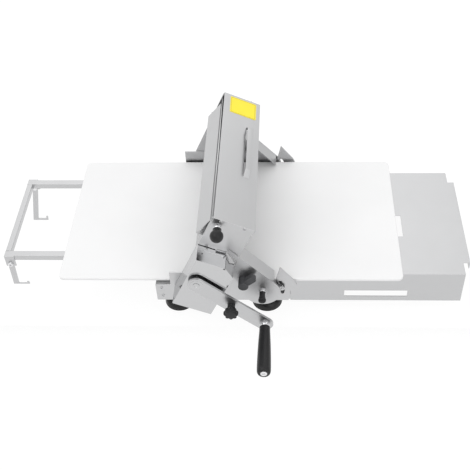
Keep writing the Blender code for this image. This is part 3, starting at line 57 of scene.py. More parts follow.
# Camera
CAMERA_PLACE = (0.1161, -1.2865, 1.4275)
CAMERA_YAW_DEG = 3.527
CAMERA_DOWN_DEG = 44.866
CAMERA_ROLL_DEG = -2.44
CAMERA_LENS_MM = 64.616
CAMERA_SENSOR_MM = 36.0
CAMERA_SHIFT = -0.03

# Rounds on edges
EDGE_ROUND = 0.0003
FOLD_ROUND = 0.0016
FOLD_FACE_WIDTH = 0.0055
BOARD_ROUND = 0.0016
SAME_POINT = 0.00001
FLAT_DEG = 1.0
SHARP_DEG = 32.0
ROUND_SEGMENTS = 3
TURNED_SIDES = 72
STAR_SIDES = 128
CURVE_STEPS = 8
DOME_STEPS = 6
CORNER_STEPS = 6
LOBE_STEPS = 16

# Tower: its own frame leans, with u along its foot and w up its side
TOWER_LEAN_DEG = 24.5
TOWER_FOOT = (-0.11745, 0.1068)
COVER_TOP_W = 0.142
COVER_BEND_U = 0.061
HOOD_TOP_W = 0.225

# Small screws: domed heads with a cross, at places in the tower's frame or on the step
SCREW_R = 0.0034
SCREW_RIM = 0.0005
SCREW_DOME = 0.0018
SCREW_CROSS_SHARE = 0.62
SCREW_CROSS_WIDTH = 0.0014
SCREW_CROSS_DEEP = 0.0015
FLANGE_SCREWS_UW = ((0.0184, 0.2210), (0.0674, 0.2216))
TAB_SCREW_UW = (-0.0045, 0.1690)
RIM_SCREW_U = 0.0181
STEP_SCREWS_XZ = ((-0.1457, 0.0994), (-0.1446, 0.0751))

# Holes in the gear cover
TOP_HOLE_U = 0.0109
TOP_HOLE_Y = -0.1395
TOP_HOLE_R = 0.0016
RELIEF_HOLE_R = 0.0016
RELIEF_SLIT = 0.0008
RELIEF_INSET = 0.0020
SLIT_LENGTH = 0.225
HOLE_REACH = 0.004
HOLE_SIDES = 24

# Bare plate on the hood
PLATE_U = (0.0172, 0.0795)
PLATE_Y = (0.2277, 0.2850)
PLATE_LIFT = 0.00005
PLATE_THICK = 0.0004
PLATE_BORDER = 0.0022
PLATE_LINE = 0.0007
PLATE_LINE_THICK = 0.0001
PLATE_CORNER = 0.003

# Star knob
STAR_LOBES = 8
STAR_LOBE_SHARE = 0.095

# Wing knob, and its stud with the pad
WING_HUB_R = 0.0105
WING_LOBE_R = 0.008
WING_REACH = 0.0245
WING_DEG = 41.0
WING_WAIST_SHARE = 0.9
WING_HUB_SHARES = (0.304, 1.0)
WING_LOBE_SHARES = (0.513, 0.861)
WING_VOXEL = 0.00045
WING_SMOOTHING = 14
WING_SOFTNESS = 0.5
STUD_R = 0.003
STUD_TOP_SHARE = 0.5
PAD_R = 0.006
PAD_CHAMFER = 0.0004
PAD_TOP_SHARE = 0.174

# Ball of the index knob, from its neck to its tip
BALL_HIGH_DEG = 17.0
BALL_LOW_DEG = -90.0
BALL_MIDDLE_SHARE = 0.685

# Hub disc and leg bolt sockets
HUB_DISC_R = 0.0135
HUB_DISC_THICK = 0.00025
SOCKET_R = 0.0030
SOCKET_DEEP = 0.0030
SOCKET_SIDES = 6

# Directions and patterns that many pieces share
FRONTWARD = Vector((0.0, -1.0, 0.0))
EVEN_SCALE = (1.0, 1.0, 1.0)
NO_TURN = (0.0, 0.0, 0.0)
NOISE_LOW = 0.3
NOISE_HIGH = 0.7


def rotation(axis, degrees):
    return Matrix.Rotation(math.radians(degrees), 4, axis)


def tower_point(u, w, y):
    lean = math.radians(TOWER_LEAN_DEG)
    x = TOWER_FOOT[0] + u * math.cos(lean) + w * math.sin(lean)
    z = TOWER_FOOT[1] - u * math.sin(lean) + w * math.cos(lean)
    return Vector((x, y, z))


def tower_up():
    """The way out of the tower's top faces."""
    lean = math.radians(TOWER_LEAN_DEG)
    return Vector((math.sin(lean), 0.0, math.cos(lean)))


# Node helpers

def new_material(name):
    material = bpy.data.materials.new(name)
    material.use_nodes = True
    tree = material.node_tree
    return material, tree, tree.nodes["Principled BSDF"]


def node(tree, kind, **settings):
    made = tree.nodes.new(kind)
    for key, value in settings.items():
        setattr(made, key, value)
    return made


def pattern_place(tree, scale=EVEN_SCALE, turn=NO_TURN):
    """Object coordinates, turned and stretched."""
    place = node(tree, "ShaderNodeTexCoord")
    mapping = node(tree, "ShaderNodeMapping")
    mapping.inputs["Rotation"].default_value = [math.radians(a) for a in turn]
    mapping.inputs["Scale"].default_value = scale
    tree.links.new(place.outputs["Object"], mapping.inputs["Vector"])
    return mapping.outputs["Vector"]


def noise(tree, vector, pattern):
    """A noise from a pattern's scale, detail and roughness."""
    scale, detail, rough = pattern
    made = node(tree, "ShaderNodeTexNoise")
    made.inputs["Scale"].default_value = scale
    made.inputs["Detail"].default_value = detail
    made.inputs["Roughness"].default_value = rough
    tree.links.new(vector, made.inputs["Vector"])
    return made.outputs["Fac"]


def ranged(tree, value, low, high, start=NOISE_LOW, stop=NOISE_HIGH):
    """A value carried from the range start to stop over to the range low to high."""
    made = node(tree, "ShaderNodeMapRange")
    made.inputs["From Min"].default_value = start
    made.inputs["From Max"].default_value = stop
    made.inputs["To Min"].default_value = low
    made.inputs["To Max"].default_value = high
    tree.links.new(value, made.inputs["Value"])
    return made.outputs["Result"]


def summed(tree, first, second):
    made = node(tree, "ShaderNodeMath", operation="ADD")
    tree.links.new(first, made.inputs[0])
    tree.links.new(second, made.inputs[1])
    return made.outputs[0]


def toned(tree, value, dark, light, low=NOISE_LOW, high=NOISE_HIGH):
    """A colour between two tones, by a value."""
    ramp = node(tree, "ShaderNodeValToRGB")
    ramp.color_ramp.elements[0].position = low
    ramp.color_ramp.elements[0].color = (*dark, 1.0)
    ramp.color_ramp.elements[1].position = high
    ramp.color_ramp.elements[1].color = (*light, 1.0)
    tree.links.new(value, ramp.inputs["Fac"])
    return ramp.outputs["Color"]


def bumped(tree, shader, height, strength, distance):
    bump = node(tree, "ShaderNodeBump")
    bump.inputs["Strength"].default_value = strength
    bump.inputs["Distance"].default_value = distance
    tree.links.new(height, bump.inputs["Height"])
    tree.links.new(bump.outputs["Normal"], shader.inputs["Normal"])


def scaled_tone(colour, share):
    return tuple(channel * share for channel in colour)


# Materials: a pattern is scale, detail and roughness, and a bump is strength and distance

STEEL_TONE = (0.560, 0.562, 0.568)
STEEL_DARK_SHARE = 0.975
STEEL_LIGHT_SHARE = 1.015
STEEL_ROUGH = (0.30, 0.35)
STEEL_CLOUDS = (9.0, 3.0, 0.5)
STEEL_SMEARS = (34.0, 5.0, 0.62)
STEEL_BUMP = (0.05, 0.0001)
GRAIN = (1.0, 2.0, 0.6)
GRAIN_FINE = 1400.0
GRAIN_LONG = 9.0
GRAIN_SHARE = 0.5
GRAIN_ROUGH = 0.03

METAL_MARKS = (160.0, 4.0, 0.5)
METAL_DARK_SHARE = 0.93
METAL_WORN_FACTOR = 2.0
METAL_BUMP = (0.05, 0.0001)

BOARD_DARK = (0.800, 0.801, 0.803)
BOARD_LIGHT = (0.830, 0.831, 0.833)
BOARD_ROUGH = (0.40, 0.52)
BOARD_SHINE = 0.4
BOARD_CLOUDS = (6.0, 4.0, 0.5)
BOARD_PEBBLE = (900.0, 2.0, 0.5)
BOARD_MARKS = (1.0, 3.0, 0.7)
BOARD_MARKS_SCALE = (5.0, 420.0, 5.0)
BOARD_MARKS_TURN = (0.0, 0.0, 8.0)
BOARD_BUMP = (0.12, 0.0002)

PLASTIC_SHINE = 0.38
PLASTIC_CLOUDS = (45.0, 4.0, 0.5)
PEBBLE_DETAIL = 2.0
PEBBLE_ROUGH = 0.5
PEBBLE_DISTANCE = 0.0003

PAINT_CLOUDS = (30.0, 3.0, 0.5)
PAINT_DARK_SHARE = 0.94
PAINT_ROUGH = (0.32, 0.42)
PAINT_BUMP = (0.08, 0.0002)


def brushed_steel(name, along, rough_range=STEEL_ROUGH, turn=NO_TURN):
    """Satin stainless sheet, brushed along one axis, with faint clouds and handling marks."""
    material, tree, shader = new_material(name)
    stretch = [GRAIN_FINE, GRAIN_FINE, GRAIN_FINE]
    stretch["xyz".index(along)] = GRAIN_LONG
    grain = noise(tree, pattern_place(tree, stretch, turn), GRAIN)
    clouds = noise(tree, pattern_place(tree), STEEL_CLOUDS)
    smears = noise(tree, pattern_place(tree), STEEL_SMEARS)
    both = summed(tree, ranged(tree, grain, 0.0, GRAIN_SHARE), ranged(tree, clouds, 0.0, 1.0 - GRAIN_SHARE))
    dark = scaled_tone(STEEL_TONE, STEEL_DARK_SHARE)
    light = scaled_tone(STEEL_TONE, STEEL_LIGHT_SHARE)
    tree.links.new(toned(tree, both, dark, light, 0.0, 1.0), shader.inputs["Base Color"])
    rough = summed(tree, ranged(tree, smears, *rough_range), ranged(tree, grain, -GRAIN_ROUGH, GRAIN_ROUGH))
    tree.links.new(rough, shader.inputs["Roughness"])
    shader.inputs["Metallic"].default_value = 1.0
    bumped(tree, shader, grain, *STEEL_BUMP)
    return material


def polished_metal(name, tone, rough):
    """Bright metal with fine marks that are darker and less glossy."""
    material, tree, shader = new_material(name)
    marks = noise(tree, pattern_place(tree), METAL_MARKS)
    colour = toned(tree, marks, scaled_tone(tone, METAL_DARK_SHARE), tone)
    tree.links.new(colour, shader.inputs["Base Color"])
    tree.links.new(ranged(tree, marks, rough, rough * METAL_WORN_FACTOR), shader.inputs["Roughness"])
    shader.inputs["Metallic"].default_value = 1.0
    bumped(tree, shader, marks, *METAL_BUMP)
    return material


def board_plastic():
    """Near-white board plastic with a fine pebble and faint cutting marks."""
    material, tree, shader = new_material("white_board_plastic")
    clouds = noise(tree, pattern_place(tree), BOARD_CLOUDS)
    pebble = noise(tree, pattern_place(tree), BOARD_PEBBLE)
    marks = noise(tree, pattern_place(tree, BOARD_MARKS_SCALE, BOARD_MARKS_TURN), BOARD_MARKS)
    tree.links.new(toned(tree, clouds, BOARD_DARK, BOARD_LIGHT), shader.inputs["Base Color"])
    tree.links.new(ranged(tree, marks, *BOARD_ROUGH), shader.inputs["Roughness"])
    shader.inputs["Specular IOR Level"].default_value = BOARD_SHINE
    bumped(tree, shader, pebble, *BOARD_BUMP)
    return material


def moulded_plastic(name, dark, light, rough_range, pebble_scale, strength):
    """Moulded plastic or rubber with a fine pebble and a little wear in its gloss."""
    material, tree, shader = new_material(name)
    clouds = noise(tree, pattern_place(tree), PLASTIC_CLOUDS)
    pebble = noise(tree, pattern_place(tree), (pebble_scale, PEBBLE_DETAIL, PEBBLE_ROUGH))
    tree.links.new(toned(tree, clouds, dark, light), shader.inputs["Base Color"])
    tree.links.new(ranged(tree, clouds, *rough_range), shader.inputs["Roughness"])
    shader.inputs["Specular IOR Level"].default_value = PLASTIC_SHINE
    bumped(tree, shader, pebble, strength, PEBBLE_DISTANCE)
    return material


def plate_paint(name, tone):
    """Smooth paint with faint clouds."""
    material, tree, shader = new_material(name)
    clouds = noise(tree, pattern_place(tree), PAINT_CLOUDS)
    colour = toned(tree, clouds, scaled_tone(tone, PAINT_DARK_SHARE), tone)
    tree.links.new(colour, shader.inputs["Base Color"])
    tree.links.new(ranged(tree, clouds, *PAINT_ROUGH), shader.inputs["Roughness"])
    bumped(tree, shader, clouds, *PAINT_BUMP)
    return material


STEEL_X = brushed_steel("steel_brushed_along", "x")
STEEL_Y = brushed_steel("steel_brushed_across", "y")
STEEL_LEAN = brushed_steel("steel_brushed_leaning", "x", turn=(0.0, 90.0 - TOWER_LEAN_DEG, 0.0))
STEEL_COVER = brushed_steel("steel_cover", "x", (0.07, 0.09), (0.0, -TOWER_LEAN_DEG, 0.0))
STEEL_TURNED = brushed_steel("steel_turned", "y", (0.21, 0.26))
CHROME = polished_metal("bright_chrome", (0.80, 0.80, 0.81), 0.07)
BRONZE = polished_metal("bearing_bronze", (0.45, 0.30, 0.14), 0.25)
WHITE = board_plastic()
BLACK = moulded_plastic(
    "black_moulded_plastic", (0.005, 0.005, 0.006), (0.010, 0.010, 0.011), (0.34, 0.44), 1400.0, 0.10
)
GREY = moulded_plastic(
    "grey_moulded_plastic", (0.050, 0.051, 0.054), (0.066, 0.068, 0.072), (0.44, 0.54), 1100.0, 0.12
)
SPACER = moulded_plastic(
    "grey_spacer_plastic", (0.27, 0.272, 0.276), (0.31, 0.312, 0.316), (0.44, 0.54), 1100.0, 0.12
)
RUBBER = moulded_plastic(
    "black_rubber", (0.004, 0.004, 0.004), (0.008, 0.008, 0.008), (0.30, 0.40), 900.0, 0.14
)
YELLOW = plate_paint("bare_plate_yellow", (0.95, 0.80, 0.025))
OCHRE = plate_paint("bare_plate_line", (0.42, 0.28, 0.03))


# Pieces

def settle(obj, materials, body, replaced=()):
    """Gives a piece its materials and its body, and hides the nodes it stands for."""
    obj.data.materials.clear()
    for material in materials:
        obj.data.materials.append(material)
    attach(obj, body)
    if replaced:
        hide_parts(*replaced)
    return obj


def linked(name, shape):
    mesh = bpy.data.meshes.new(name)
    shape.to_mesh(mesh)
    shape.free()
    obj = bpy.data.objects.new(name, mesh)
    bpy.context.scene.collection.objects.link(obj)
    return obj


def face_width(face, edge):
    return face.calc_area() / max(edge.calc_length(), SAME_POINT)


def weigh_edges(shape, fold_round):
    """Bevel weights: a wide round where two wide faces fold, and a fine one on other edges."""
    layer = shape.edges.layers.float.new("bevel_weight_edge")
    fine = EDGE_ROUND / fold_round
    for edge in shape.edges:
        if len(edge.link_faces) != 2:
            continue
        if math.degrees(edge.calc_face_angle(0.0)) < SHARP_DEG:
            continue
        narrow = min(face_width(face, edge) for face in edge.link_faces)
        folded = narrow > FOLD_FACE_WIDTH and edge.is_convex
        edge[layer] = 1.0 if folded else fine


def round_edges(obj, width):
    modifier = obj.modifiers.new("rounds", "BEVEL")
    modifier.limit_method = "WEIGHT"
    modifier.width = width
    modifier.segments = ROUND_SEGMENTS
    modifier.harden_normals = True
    smoothed(obj)


def smoothed(obj):
    """Shades a piece smooth up to its sharp edges."""
    obj.data.shade_smooth()
    obj.data.set_sharp_from_angle(angle=math.radians(SHARP_DEG))
    return obj


def final_mesh(obj):
    """A piece's mesh with its modifiers in it, as its own mesh from now on."""
    bpy.context.view_layer.update()
    seen = obj.evaluated_get(bpy.context.evaluated_depsgraph_get())
    mesh = bpy.data.meshes.new_from_object(seen)
    obj.modifiers.clear()
    obj.data = mesh
    return obj


def cut_away(obj, cutters):
    """Cuts other shapes out of a piece and removes them."""
    for cutter in cutters:
        modifier = obj.modifiers.new("cut", "BOOLEAN")
        modifier.operation = "DIFFERENCE"
        modifier.solver = "EXACT"
        modifier.object = cutter
    final_mesh(obj)
    for cutter in cutters:
        bpy.data.objects.remove(cutter)
    return obj


def copied(node_name, name, cutters=()):
    """A copy of a node's mesh as a new piece, with holes cut in it."""
    shape = bmesh.new()
    shape.from_mesh(frame["nodes"][node_name].data)
    bmesh.ops.remove_doubles(shape, verts=shape.verts, dist=SAME_POINT)
    obj = linked(name, shape)
    if cutters:
        cut_away(obj, cutters)
    return obj


def finer(node_name, material, fold_round=FOLD_ROUND, cutters=()):
    """A copy of a node with its flat faces joined up and its edges and folds rounded."""
    obj = copied(node_name, f"{node_name}_finished", cutters)
    shape = bmesh.new()
    shape.from_mesh(obj.data)
    bmesh.ops.dissolve_limit(
        shape,
        angle_limit=math.radians(FLAT_DEG),
        verts=shape.verts,
        edges=shape.edges,
        use_dissolve_boundaries=False,
    )
    bmesh.ops.recalc_face_normals(shape, faces=shape.faces)
    weigh_edges(shape, fold_round)
    shape.to_mesh(obj.data)
    shape.free()
    round_edges(obj, fold_round)
    return settle(obj, [material], BODY_OF[node_name], [node_name])


def slab(name, loop, lift):
    """A straight solid on a loop of points."""
    shape = bmesh.new()
    low = [shape.verts.new(point) for point in loop]
    high = [shape.verts.new(point + lift) for point in loop]
    for i in range(len(loop)):
        j = (i + 1) % len(loop)
        shape.faces.new((low[i], low[j], high[j], high[i]))
    shape.faces.new(low)
    shape.faces.new(high)
    bmesh.ops.recalc_face_normals(shape, faces=shape.faces)
    return linked(name, shape)


def facing(normal):
    """Turns what faces the front so that it faces along normal."""
    return FRONTWARD.rotation_difference(normal).to_matrix().to_4x4()


def plug(name, outline, start, stop, place, normal):
    """A straight solid that stands on an outline and reaches from start to stop along normal."""
    turn = facing(normal)
    loop = [turn @ Vector((a, -start, b)) + place for a, b in outline]
    return slab(name, loop, turn @ Vector((0.0, start - stop, 0.0)))


def circle(radius, sides):
    angles = [2 * math.pi * i / sides for i in range(sides)]
    return [(radius * math.cos(angle), radius * math.sin(angle)) for angle in angles]


def turned(name, profile, place, turn=None, lobes=0, lobe_share=0.0, sides=TURNED_SIDES, ring=False):
    """A shape turned about the y axis through place, from points of radius and y."""
    shape = bmesh.new()
    rings = []
    for radius, along in profile:
        points = []
        for i in range(1 if radius <= 0.0 else sides):
            angle = 2 * math.pi * i / sides
            reach = radius * (1.0 + lobe_share * math.cos(lobes * angle))
            points.append(shape.verts.new((reach * math.cos(angle), along, reach * math.sin(angle))))
        rings.append(points)
    followers = rings[1:] + rings[:1] if ring else rings[1:]
    for first, second in zip(rings, followers):
        for i in range(sides):
            j = (i + 1) % sides
            corners = [first[i % len(first)], first[j % len(first)]]
            corners += [second[j % len(second)], second[i % len(second)]]
            shape.faces.new(list(dict.fromkeys(corners)))
    ends = () if ring else (rings[0], rings[-1])
    for end in ends:
        if len(end) > 1:
            shape.faces.new(end)
    bmesh.ops.recalc_face_normals(shape, faces=shape.faces)
    if turn is not None:
        shape.transform(turn)
    shape.transform(Matrix.Translation(place))
    return smoothed(linked(name, shape))


def spline(before, start, stop, after, t):
    """One coordinate of a smooth curve from start to stop."""
    bend = 2 * before - 5 * start + 4 * stop - after
    twist = 3 * start - before - 3 * stop + after
    return (2 * start + (stop - before) * t + bend * t ** 2 + twist * t ** 3) / 2


def curved(points):
    """Many points on a smooth curve through a few."""
    dense = []
    for i in range(len(points) - 1):
        four = (points[max(i - 1, 0)], points[i], points[i + 1], points[min(i + 2, len(points) - 1)])
        for step in range(CURVE_STEPS):
            dense.append(tuple(spline(*[point[k] for point in four], step / CURVE_STEPS) for k in range(2)))
    dense.append(points[-1])
    return dense


def on_axis(node_name, y):
    """The point at y on the axis of a node that is round about the y axis."""
    low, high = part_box(node_name)
    return Vector(((low.x + high.x) / 2, y, (low.z + high.z) / 2))


def turned_on(
    node_name, shares, material, outward=-1, lobes=0, lobe_share=0.0, ring=False, sides=TURNED_SIDES
):
    """Turns a round node again, from shares of its own radius and of its length along y."""
    low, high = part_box(node_name)
    radius = (high.x - low.x) / 2 / (1.0 + lobe_share)
    start = on_axis(node_name, high.y if outward < 0 else low.y)
    profile = [(radius * r, outward * (high.y - low.y) * a) for r, a in shares]
    obj = turned(f"{node_name}_finished", profile, start, None, lobes, lobe_share, sides, ring)
    return settle(obj, [material], BODY_OF[node_name], [node_name])


# Flat pieces from the frame

STEEL_NODES = {
    "base_pan": STEEL_X, "foot_bar_left": STEEL_Y, "foot_bar_right": STEEL_Y,
    "side_plate_front": STEEL_X, "side_plate_back": STEEL_X,
    "tower_plate_front": STEEL_LEAN, "tower_plate_back": STEEL_LEAN,
    "cover_rim": STEEL_COVER, "gear_cover": STEEL_COVER,
    "tray": STEEL_X, "tray_splice": STEEL_X, "rail_front": STEEL_X, "rail_back": STEEL_X,
    "rail_seat": STEEL_Y, "crossbar": STEEL_Y, "crank_arm": STEEL_X,
    "head_plate_front": STEEL_LEAN, "head_plate_back": STEEL_LEAN,
    "brace_front": STEEL_X, "brace_back": STEEL_X, "guide_pin": STEEL_X,
    "hood_top": STEEL_Y, "hood_side_panel": STEEL_Y,
    "roller_arm_front": STEEL_LEAN, "roller_arm_back": STEEL_LEAN, "upper_scraper": STEEL_Y,
    "leg_front": STEEL_X, "leg_back": STEEL_X,
}


def hole(name, radius, place, normal):
    """A round plug through a sheet, to cut a hole with."""
    return plug(name, circle(radius, HOLE_SIDES), -HOLE_REACH, HOLE_REACH, place, normal)


def cover_cutters():
    """A small hole in the cover's top, and the slit and relief hole where its corner bends."""
    up = tower_up()
    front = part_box("gear_cover")[0].y
    top = hole("cover_top_hole", TOP_HOLE_R, tower_point(TOP_HOLE_U, COVER_TOP_W, TOP_HOLE_Y), up)
    corner = tower_point(COVER_BEND_U - RELIEF_INSET, COVER_TOP_W - RELIEF_INSET, front)
    relief = hole("cover_relief_hole", RELIEF_HOLE_R, corner, FRONTWARD)
    foot = tower_point(COVER_BEND_U, COVER_TOP_W, front) - up * HOLE_REACH
    across = tower_point(RELIEF_SLIT / 2, 0.0, 0.0) - tower_point(0.0, 0.0, 0.0)
    rise = up * 2 * HOLE_REACH
    outline = [foot - across, foot + across, foot + across + rise, foot - across + rise]
    slit = slab("cover_slit", outline, Vector((0.0, SLIT_LENGTH, 0.0)))
    return [top, relief, slit]


def flat_pieces():
    for node_name, material in STEEL_NODES.items():
        cutters = cover_cutters() if node_name == "gear_cover" else ()
        finer(node_name, material, cutters=cutters)
    for node_name in ("side_spacer_front", "side_spacer_back"):
        finer(node_name, SPACER)
    finer("board", WHITE, BOARD_ROUND)


def plain_nodes():
    """Nodes whose own shape is right and that only take a finish."""
    finishes = {
        "roller_gear": STEEL_TURNED, "idler_gear": STEEL_TURNED, "crank_gear": STEEL_TURNED,
        "idler_axle": STEEL_TURNED, "crank_bushing": BRONZE, "roller_bushing_front": BRONZE,
        "roller_bushing_back": BRONZE, "lower_roller": STEEL_TURNED, "upper_roller": STEEL_TURNED,
        "crank_shaft": STEEL_TURNED, "head_tie_rod": STEEL_TURNED,
        "pivot_bolt_front": CHROME, "pivot_bolt_back": STEEL_TURNED,
    }
    for node_name, material in finishes.items():
        data = frame["nodes"][node_name].data
        data.materials.clear()
        data.materials.append(material)


# Round pieces, from shares of their nodes' radius and length

def crank_hub():
    """The hub's screw head with a raised ring, on a thin disc."""
    shares = [(0.0, 0.45), (0.44, 0.45), (0.54, 0.60), (0.60, 0.95), (0.66, 1.0)]
    shares += [(0.88, 1.0), (0.97, 0.85), (1.0, 0.6), (1.0, 0.0), (0.0, 0.0)]
    turned_on("crank_hub_screw", shares, STEEL_TURNED)
    place = on_axis("crank_hub_screw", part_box("crank_hub_screw")[1].y)
    profile = [(0.0, 0.0), (HUB_DISC_R, 0.0), (HUB_DISC_R, HUB_DISC_THICK), (0.0, HUB_DISC_THICK)]
    disc = turned("crank_hub_disc", profile, place)
    settle(disc, [STEEL_TURNED], BODY_OF["crank_hub_screw"])


def star_knob():
    """The star knob on the crank arm, with its neck and lobes."""
    neck = [(0.52, 0.18), (0.53, 0.30), (0.60, 0.43), (0.74, 0.55), (0.92, 0.64), (1.0, 0.72), (1.0, 0.88)]
    shares = [(0.0, 0.0), (0.2, 0.0), (0.2, 0.166), (0.50, 0.168)] + curved(neck)
    shares += [(0.97, 0.93), (0.90, 0.97), (0.80, 0.99), (0.60, 1.0), (0.0, 1.0)]
    turned_on(
        "star_knob", shares, BLACK,
        lobes=STAR_LOBES, lobe_share=STAR_LOBE_SHARE, sides=STAR_SIDES
    )


def grip_pieces():
    """The spindle with its ferrule, the grip that turns on it, and the end cap."""
    spindle = [(0.0, 0.0), (0.74, 0.0), (0.80, 0.003), (0.80, 0.0168), (0.35, 0.0168), (0.35, 0.0639)]
    spindle += [(0.97, 0.0642), (1.0, 0.067), (1.0, 0.077), (0.96, 0.080), (0.82, 0.081), (0.80, 0.084)]
    spindle += [(0.84, 0.087), (0.93, 0.088), (0.95, 0.091), (0.93, 0.100), (0.84, 0.119), (0.80, 0.1225)]
    spindle += [(0.35, 0.1228), (0.35, 1.0), (0.0, 1.0)]
    turned_on("grip_spindle", spindle, CHROME)
    swell = [(0.79, 0.05), (0.82, 0.15), (0.90, 0.35), (0.955, 0.55), (0.99, 0.75), (1.0, 0.88), (0.99, 0.94)]
    grip = [(0.0, 0.89), (0.30, 0.89), (0.30, 0.0), (0.70, 0.0), (0.77, 0.008), (0.79, 0.018), (0.79, 0.034)]
    grip += [(0.76, 0.037), (0.76, 0.041), (0.79, 0.044)] + curved(swell)
    grip += [(0.965, 0.962), (0.915, 0.981), (0.84, 0.994), (0.74, 1.0), (0.52, 1.0)]
    turned_on("grip", grip + [(0.52, 0.9686), (0.0, 0.9686)], BLACK)
    cap = [(0.0, 0.0), (1.0, 0.0), (1.0, 0.85), (0.95, 0.97), (0.86, 1.0), (0.46, 1.0), (0.40, 0.90)]
    turned_on("grip_cap", cap + [(0.38, 0.45), (0.0, 0.40)], CHROME)


def index_knob():
    """The index knob: a pin, a flared neck and a ball."""
    neck = [(0.64, 0.28), (0.63, 0.34), (0.65, 0.40), (0.73, 0.47), (0.84, 0.53), (0.93, 0.585)]
    shares = [(0.0, 0.0), (0.12, 0.0), (0.149, 0.004), (0.149, 0.082), (0.313, 0.082), (0.313, 0.265)]
    shares += [(0.58, 0.267)] + curved(neck)
    ball_reach = 1.0 - BALL_MIDDLE_SHARE
    steps = TURNED_SIDES // 4
    for i in range(steps):
        angle = math.radians(BALL_HIGH_DEG - (BALL_HIGH_DEG - BALL_LOW_DEG) * i / steps)
        shares.append((math.cos(angle), BALL_MIDDLE_SHARE - ball_reach * math.sin(angle)))
    turned_on("index_knob", shares + [(0.0, 1.0)], BLACK)


def plunger_collar():
    """The bright collar that guides the index knob's pin."""
    shares = [(0.5625, 0.0), (1.0, 0.0), (1.0, 0.28), (0.94, 0.31), (0.94, 0.36), (1.0, 0.39), (1.0, 0.6)]
    shares += [(0.97, 0.68), (0.84, 0.96), (0.80, 1.0), (0.5625, 1.0)]
    turned_on("plunger_collar", shares, CHROME, ring=True)


def lock_knob():
    """The small flared lock knob on the pivot."""
    flare = [(0.74, 0.05), (0.74, 0.25), (0.78, 0.45), (0.88, 0.65), (0.97, 0.80), (1.0, 0.88)]
    shares = [(0.0, 0.53), (0.39, 0.53), (0.39, 0.0), (0.68, 0.0), (0.73, 0.02)] + curved(flare)
    shares += [(0.98, 0.94), (0.92, 0.98), (0.82, 1.0), (0.0, 1.0)]
    turned_on("lock_knob", shares, BLACK)


def wing_knob_skin():
    """The hub and the long lobe of the wing knob, as one body with softened edges."""
    low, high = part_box("wing_knob")
    length = high.y - low.y
    place = Vector((low.x + WING_HUB_R, high.y, low.z + WING_HUB_R))
    heading = math.radians(WING_DEG)
    tip = (WING_REACH * math.cos(heading), WING_REACH * math.sin(heading))
    lobe = []
    ends = ((tip, WING_LOBE_R, -90.0), ((0.0, 0.0), WING_LOBE_R * WING_WAIST_SHARE, 90.0))
    for centre, radius, start in ends:
        for i in range(LOBE_STEPS + 1):
            angle = math.radians(WING_DEG + start + 180.0 * i / LOBE_STEPS)
            lobe.append((centre[0] + radius * math.cos(angle), centre[1] + radius * math.sin(angle)))
    shape = bmesh.new()
    for outline, shares in ((circle(WING_HUB_R, TURNED_SIDES), WING_HUB_SHARES), (lobe, WING_LOBE_SHARES)):
        part = plug("wing_part", outline, length * shares[0], length * shares[1], place, FRONTWARD)
        shape.from_mesh(part.data)
        bpy.data.objects.remove(part)
    knob = linked("wing_knob_finished", shape)
    skin = knob.modifiers.new("skin", "REMESH")
    skin.mode = "VOXEL"
    skin.voxel_size = WING_VOXEL
    soft = knob.modifiers.new("soft", "SMOOTH")
    soft.factor = WING_SOFTNESS
    soft.iterations = WING_SMOOTHING
    final_mesh(knob)
    knob.data.shade_smooth()
    settle(knob, [GREY], BODY_OF["wing_knob"], ["wing_knob"])


def wing_knob_stud():
    """The stud that carries the wing knob, with the pad that it presses on the plate."""
    low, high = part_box("wing_knob")
    pad_top = -(high.y - low.y) * PAD_TOP_SHARE
    stud_top = -(high.y - low.y) * STUD_TOP_SHARE
    profile = [(0.0, 0.0), (PAD_R - PAD_CHAMFER, 0.0), (PAD_R, -PAD_CHAMFER), (PAD_R, pad_top)]
    profile += [(STUD_R, pad_top), (STUD_R, stud_top), (0.0, stud_top)]
    place = Vector((low.x + WING_HUB_R, high.y, low.z + WING_HUB_R))
    settle(turned("wing_knob_stud", profile, place), [STEEL_TURNED], BODY_OF["wing_knob"])


def leg_bolts():
    """Leg bolts with round heads and hex sockets."""
    for name, outward in (("leg_bolt_front", -1), ("leg_bolt_back", 1)):
        shares = [(0.0, 0.0), (0.92, 0.0), (1.0, 0.02), (1.0, 0.265), (0.545, 0.265), (0.545, 0.669)]
        shares += [(1.0, 0.669), (1.0, 0.95), (0.95, 0.985), (0.88, 1.0), (0.0, 1.0)]
        bolt = turned_on(name, shares, CHROME, outward)
        low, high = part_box(name)
        place = on_axis(name, low.y if outward < 0 else high.y)
        out = Vector((0.0, outward, 0.0))
        socket = plug(f"{name}_socket", circle(SOCKET_R, SOCKET_SIDES), -SOCKET_DEEP, SOCKET_DEEP, place, out)
        smoothed(cut_away(bolt, [socket]))


def suction_cups():
    """Glossy cups with a thin lip and a bead."""
    stand = rotation("X", 90.0)
    for end in ("front_left", "front_right", "back_left", "back_right"):
        node_name = f"suction_cup_{end}"
        low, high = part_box(node_name)
        radius = (high.x - low.x) / 2
        height = high.z - low.z
        place = ((low.x + high.x) / 2, (low.y + high.y) / 2, low.z)
        under = curved([(0.0, 0.24), (0.3, 0.22), (0.6, 0.17), (0.82, 0.0)])
        lip = [(0.99, 0.0), (1.0, 0.01), (1.0, 0.07), (0.985, 0.085), (0.975, 0.10), (0.985, 0.115)]
        flank = curved([(0.985, 0.18), (0.93, 0.36), (0.82, 0.50), (0.68, 0.61), (0.50, 0.70), (0.42, 0.76)])
        shares = under + lip + [(0.99, 0.15)] + flank + [(0.364, 0.78), (0.364, 1.0), (0.0, 1.0)]
        cup = turned(f"{node_name}_finished", [(radius * r, height * a) for r, a in shares], place, stand)
        settle(cup, [RUBBER], BODY_OF[node_name], [node_name])


# Small screws and the bare plate

